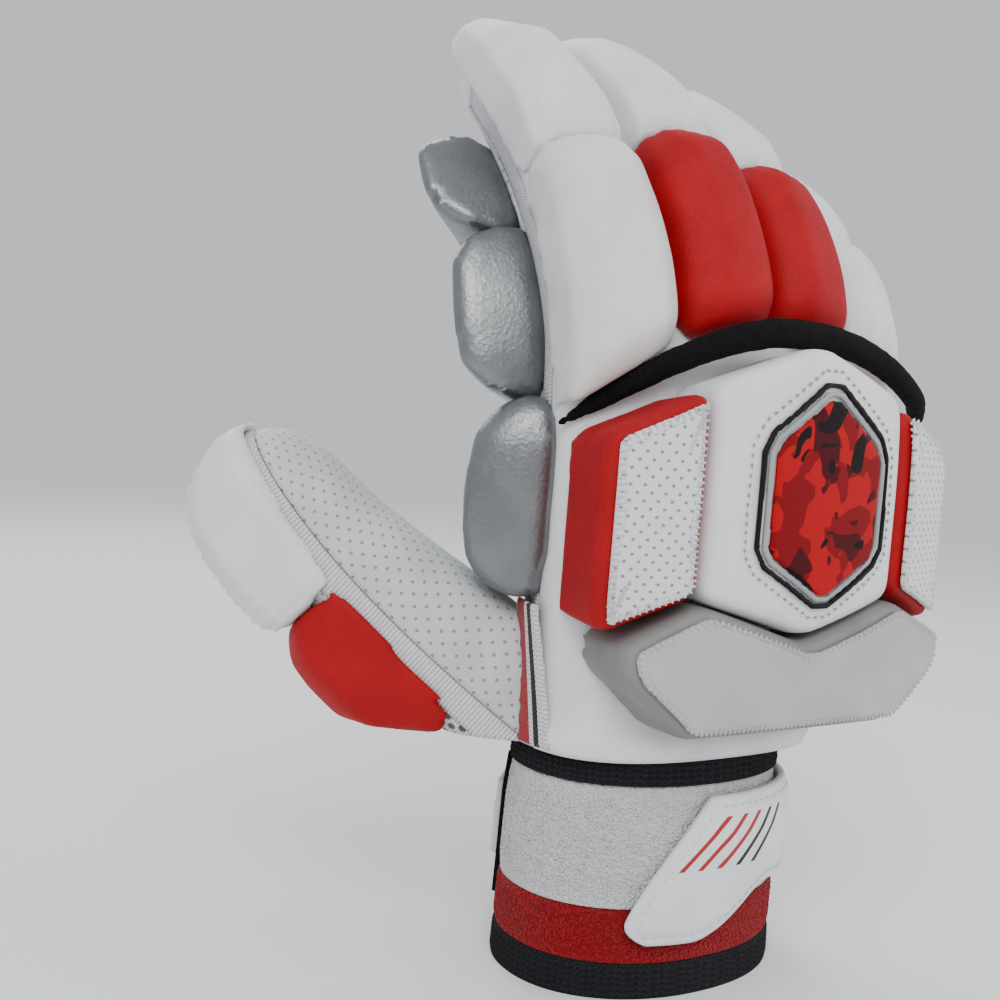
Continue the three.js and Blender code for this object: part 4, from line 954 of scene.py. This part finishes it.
stitchPlaces = {"rim": 0.2, "overlock": 0.3, "run": 1.5, "badge": -2.2}  # how far each row lies in from the edge
for name, cadNode, finish, slot in (("indexPadOverlock", "index_pad_face", "thread", "perforated_white"),
                                    ("littlePadOverlock", "little_pad_face", "thread", "perforated_white"),
                                    ("guardOverlock", "wrist_guard_face", "guardThread", "guard_hide")):
    rim = inset(outlineOf(copyOf(cadNode, bendHand)), stitchPlaces["rim"])
    stitchRow(name, inset(rim, stitchPlaces["overlock"]), bendHand, finish, slot, "overlock")
    stitchRow(name + "Run", inset(rim, stitchPlaces["run"]), bendHand, finish, slot, "run")
badgeSeam = inset(outlineOf(copyOf("badge_ring", bendHand)), stitchPlaces["badge"])
stitchRow("badgeSeam", badgeSeam, bendHand, "greyThread", "white_leather", "badge")
print("stitches ready")


def towelling(girth, up):
    shift = 0.35 * np.sin(girth * 0.9) + 0.3 * np.sin(up * 1.3 + girth * 0.31)
    loops = np.abs(np.sin(math.pi * (girth + shift) / 1.5)) * np.abs(np.sin(math.pi * (up + shift) / 1.3))
    sag = 0.35 * np.sin(girth / 17.0) * np.sin(up / 14.0) + 0.2 * np.sin(girth / 7.0 + up / 9.0)
    return 0.5 * loops + sag


def ribbing(girth, up):
    return 0.35 * np.sin(2 * math.pi * girth / 2.2) + 0.15 * np.sin(2 * math.pi * up / 1.5)


cuffBands = [  # lifts of the outer and inner face, steps round and up
    {"name": "cuffEdgeBinding", "finish": "blackKnit", "texture": ribbing,
     "foot": 0, "head": 9, "lift": 0.3, "inner": -2.7, "round": 420, "up": 18},
    {"name": "cuffRedBand", "finish": "redTowel", "texture": towelling,
     "foot": 9.3, "head": 23.3, "lift": 0, "inner": -3, "round": 560, "up": 32},
    {"name": "cuffTowelling", "finish": "whiteTowel", "texture": towelling,
     "foot": 23.6, "head": 55.4, "lift": 0, "inner": -3, "round": 560, "up": 72},
    {"name": "cuffTopBinding", "finish": "blackKnit", "texture": ribbing,
     "foot": 55.7, "head": 61.7, "lift": 0.9, "inner": -3, "round": 420, "up": 14},
]
girthAll = math.pi * (cuff["halfWidth"] + cuff["halfDepth"])


def cuffBand(band):
    bm = bmesh.new()
    steps = band["round"] // 1
    bmesh.ops.create_cone(bm, cap_ends=False, segments=steps, radius1=1, radius2=1, depth=1)
    upright = [edge for edge in bm.edges if abs(edge.verts[0].co.z - edge.verts[1].co.z) > 0.5]
    bmesh.ops.subdivide_edges(bm, edges=upright, cuts=band["up"] - 1, use_grid_fill=True)
    points = corners(bm)
    share = points[:, 2] + 0.5
    girth = np.arctan2(points[:, 0], -points[:, 1]) / (2 * math.pi) * girthAll
    up = band["foot"] + share * (band["head"] - band["foot"])
    lift = band["lift"] + band["texture"](girth, up) * np.clip(8 * share * (1 - share), 0, 1)
    moveTo(bm, np.stack([girth, -lift, up], 1))
    rims = [edge for edge in bm.edges if edge.is_boundary]
    grown = bmesh.ops.extrude_edge_only(bm, edges=rims)
    for item in grown["geom"]:
        if isinstance(item, bmesh.types.BMVert):
            item.co.y = -band["inner"]
    loops = [edge for edge in bm.edges if edge.is_boundary]
    bmesh.ops.bridge_loops(bm, edges=loops)
    bmesh.ops.recalc_face_normals(bm, faces=bm.faces)
    return bm


for band in cuffBands:
    place(band["name"], cuffBand(band), bendCuff, band["finish"])

strap = {
    "foot": 15, "height": 38, "lift": 1.3, "thickness": 2.2, "slant": 22, "start": -24, "end": 84, "point": 8,
    "slantPower": 1.4, "corner": 7, "cornerShare": 0.16,
    "rise": 12, "riseFrom": -6, "riseRun": 22, "fallFrom": 48, "fallRun": 26,
    "border": 2.9, "panel": 0.7, "panelRun": 0.9, "round": 0.5, "roundRun": 1.2,
    "endSeam": 3.2, "sideSeam": 2.7, "seamStart": 3.5, "seamEnd": 5,
}
patch = {"start": 88, "end": 146, "below": 2, "above": 1, "lift": 1.0, "thickness": 1.4}


def plate(start, end, foot, head, lift, thickness, columns, rows):  # grid over the cuff between two girth limits
    bm = bmesh.new()
    bmesh.ops.create_grid(bm, x_segments=columns, y_segments=rows, size=0.5)
    points = corners(bm) + 0.5
    share = points[:, 1]
    girth = start(share) + points[:, 0] * (end(share) - start(share))
    low = foot(girth) if callable(foot) else foot
    moveTo(bm, np.stack([girth, 0 * girth - lift, low + share * (head - low)], 1))
    bmesh.ops.recalc_face_normals(bm, faces=bm.faces)
    for face in bm.faces:
        if face.normal.y > 0:
            face.normal_flip()
    return withModifier(bm, "SOLIDIFY", thickness=thickness, offset=1)


strapHead = strap["foot"] + strap["height"]


def strapStart(share):  # slanted end with a round lower corner
    return (strap["start"] + strap["slant"] * share ** strap["slantPower"]
            + strap["corner"] * np.clip(1 - share / strap["cornerShare"], 0, 1) ** 2)


def strapFoot(girth):  # lower edge rises beyond the end panel and falls again to the tab
    return strap["foot"] + (strap["rise"] * smoothStep((girth - strap["riseFrom"]) / strap["riseRun"])
                            * (1 - smoothStep((girth - strap["fallFrom"]) / strap["fallRun"])))


strapPiece = plate(strapStart, lambda share: strap["end"] - strap["point"] * np.abs(share - 0.5), strapFoot, strapHead,
                   strap["lift"], strap["thickness"], 150, 56)
points = corners(strapPiece)
low = strapFoot(points[:, 0])
share = (points[:, 2] - low) / (strapHead - low)
inward = np.minimum(np.minimum(points[:, 2] - low, strapHead - points[:, 2]),
                    points[:, 0] - strapStart(np.clip(share, 0, 1)))
panel = (strap["panel"] * smoothStep((inward - strap["border"]) / strap["panelRun"])
         + strap["round"] * smoothStep(inward / strap["roundRun"]) - strap["round"])
points[:, 1] -= np.where(points[:, 1] < -strap["lift"] - 0.5, panel, 0)
moveTo(strapPiece, points)
place("strap", softened(strapPiece, 1), bendCuff, "stripedLeather")

shares = np.linspace(0.1, 0.9, 40)
seamOut = -strap["lift"] - strap["thickness"]
headGirths = np.linspace(strapStart(0.93) + strap["seamStart"], strap["end"] - strap["seamEnd"], 90)
footGirths = np.linspace(strapStart(0.1) + strap["seamStart"], strap["end"] - strap["seamEnd"], 100)
for name, girths, ups in (
        ("strapEndSeam", strapStart(shares) + strap["endSeam"], strap["foot"] + shares * strap["height"]),
        ("strapHeadSeam", headGirths, 0 * headGirths + strapHead - strap["sideSeam"]),
        ("strapFootSeam", footGirths, strapFoot(footGirths) + strap["sideSeam"])):
    path = np.stack([girths, 0 * girths + seamOut, ups], 1)
    stitchRow(name, path, bendCuff, "thread", "white_leather", "strap", closed=False)
patchPiece = plate(lambda share: patch["start"] + 0 * share, lambda share: patch["end"] + 0 * share,
                   strap["foot"] - patch["below"], strapHead + patch["above"], patch["lift"],
                   patch["thickness"], 60, 40)
place("loopPatch", patchPiece, bendCuff, "blackPile")

place("strapTab", remeshed(copyOf("strap_tab", None), 0.7, 4), None, "whiteLeather")
tab = {"centre": 116, "middle": 34, "halfWidth": 27, "halfHeight": 19, "lift": 4.9, "narrow": 0.5, "straight": 0.56}
tabLayers = [  # inset from the tab's edge, height of its top over the tab
    {"name": "tabRing", "finish": "blackRubber", "inset": 5.0, "rise": 1.3, "stands": []},
    {"name": "tabLiner", "finish": "greyRubber", "inset": 6.4, "rise": 1.55, "stands": []},
    {"name": "tabBadge", "finish": "badgePrint", "inset": 7.8, "rise": 1.8, "stands": ["tab_badge"]},
]
for layer in tabLayers:
    half = tab["halfWidth"] - layer["inset"]
    tall = tab["halfHeight"] - layer["inset"]

    def tabEdge(share, half=half):
        beyond = np.clip((np.abs(2 * share - 1) - tab["straight"]) / (1 - tab["straight"]), 0, 1)
        return half * (1 - tab["narrow"] * beyond)
    piece = plate(lambda share: tab["centre"] - tabEdge(share), lambda share: tab["centre"] + tabEdge(share),
                  tab["middle"] - tall, tab["middle"] + tall, tab["lift"], layer["rise"], 60, 44)
    place(layer["name"], softened(piece, 1), bendCuff, layer["finish"], "badge_print", layer["stands"])
print("cuff ready")

studio = {
    "target": (-0.02255, 0.01521, 0.12386), "azimuth": -34.0, "elevation": 4.04, "distance": 0.3744, "lens": 46.8,
    "roll": 4.5, "floor": 0.9, "floorColour": rgb(0.86, 0.86, 0.86), "sky": rgb(0.93, 0.95, 1.0), "skyPower": 0.85,
    "rim": ((0.9, 0.0), (0.5, 0.06), (0.4, 0.25), (0.35, 0.55), (0.25, 0.9)),  # width and rise of each outer ring
}
floorMesh = bmesh.new()
bmesh.ops.create_circle(floorMesh, cap_ends=False, segments=96, radius=studio["floor"])
bmesh.ops.contextual_create(floorMesh, geom=floorMesh.edges[:])
for width, height in studio["rim"]:
    rim = [edge for edge in floorMesh.edges if edge.is_boundary]
    grown = bmesh.ops.extrude_edge_only(floorMesh, edges=rim)
    for item in grown["geom"]:
        if isinstance(item, bmesh.types.BMVert):
            reachOut = item.co.xy.length
            item.co.xy *= (reachOut + width) / reachOut
            item.co.z += height
for face in floorMesh.faces:
    face.smooth = True
bmesh.ops.recalc_face_normals(floorMesh, faces=floorMesh.faces)
floorData = bpy.data.meshes.new("floor")
floorMesh.to_mesh(floorData)
floorMesh.free()
floor = bpy.data.objects.new("floor", floorData)
floorFinish, floorTree, floorShader = newFinish("paleFloor", 0.9)
floorShader.inputs["Base Color"].default_value = studio["floorColour"]
floorData.materials.append(floorFinish)
bpy.context.collection.objects.link(floor)

world = bpy.data.worlds.new("studio")
world.use_nodes = True
world.node_tree.nodes["Background"].inputs[0].default_value = studio["sky"]
world.node_tree.nodes["Background"].inputs[1].default_value = studio["skyPower"]
bpy.context.scene.world = world
lights = [
    {"name": "keyLight", "spot": (-0.55, -0.75, 0.95), "size": 0.7, "power": 9.0},
    {"name": "fillLight", "spot": (0.8, -0.5, 0.5), "size": 0.8, "power": 3.0},
    {"name": "rimLight", "spot": (0.1, 0.8, 0.8), "size": 0.6, "power": 4.0},
]
for lamp in lights:
    light = bpy.data.lights.new(lamp["name"], "AREA")
    light.size = lamp["size"]
    light.energy = lamp["power"]
    stand = bpy.data.objects.new(lamp["name"], light)
    stand.location = lamp["spot"]
    stand.rotation_euler = (Vector((0, 0, 0.12)) - Vector(lamp["spot"])).to_track_quat("-Z", "Y").to_euler()
    bpy.context.collection.objects.link(stand)

turn, rise = math.radians(studio["azimuth"]), math.radians(studio["elevation"])
back = Vector((math.sin(turn) * math.cos(rise), -math.cos(turn) * math.cos(rise), math.sin(rise)))
camera = bpy.data.objects.new("camera", bpy.data.cameras.new("camera"))
camera.data.lens = studio["lens"]
camera.data.sensor_width = 36
camera.data.clip_start = 0.01
camera.location = Vector(studio["target"]) + back * studio["distance"]
camera.rotation_mode = "QUATERNION"
level = (-back).to_track_quat("-Z", "Y")
camera.rotation_quaternion = level @ Matrix.Rotation(math.radians(studio["roll"]), 3, "Z").to_quaternion()
bpy.context.collection.objects.link(camera)
bpy.context.scene.camera = camera
print("studio ready")

print("triangles in all", sum(triangles.values()), "most in one", max(triangles.items(), key=lambda item: item[1]))
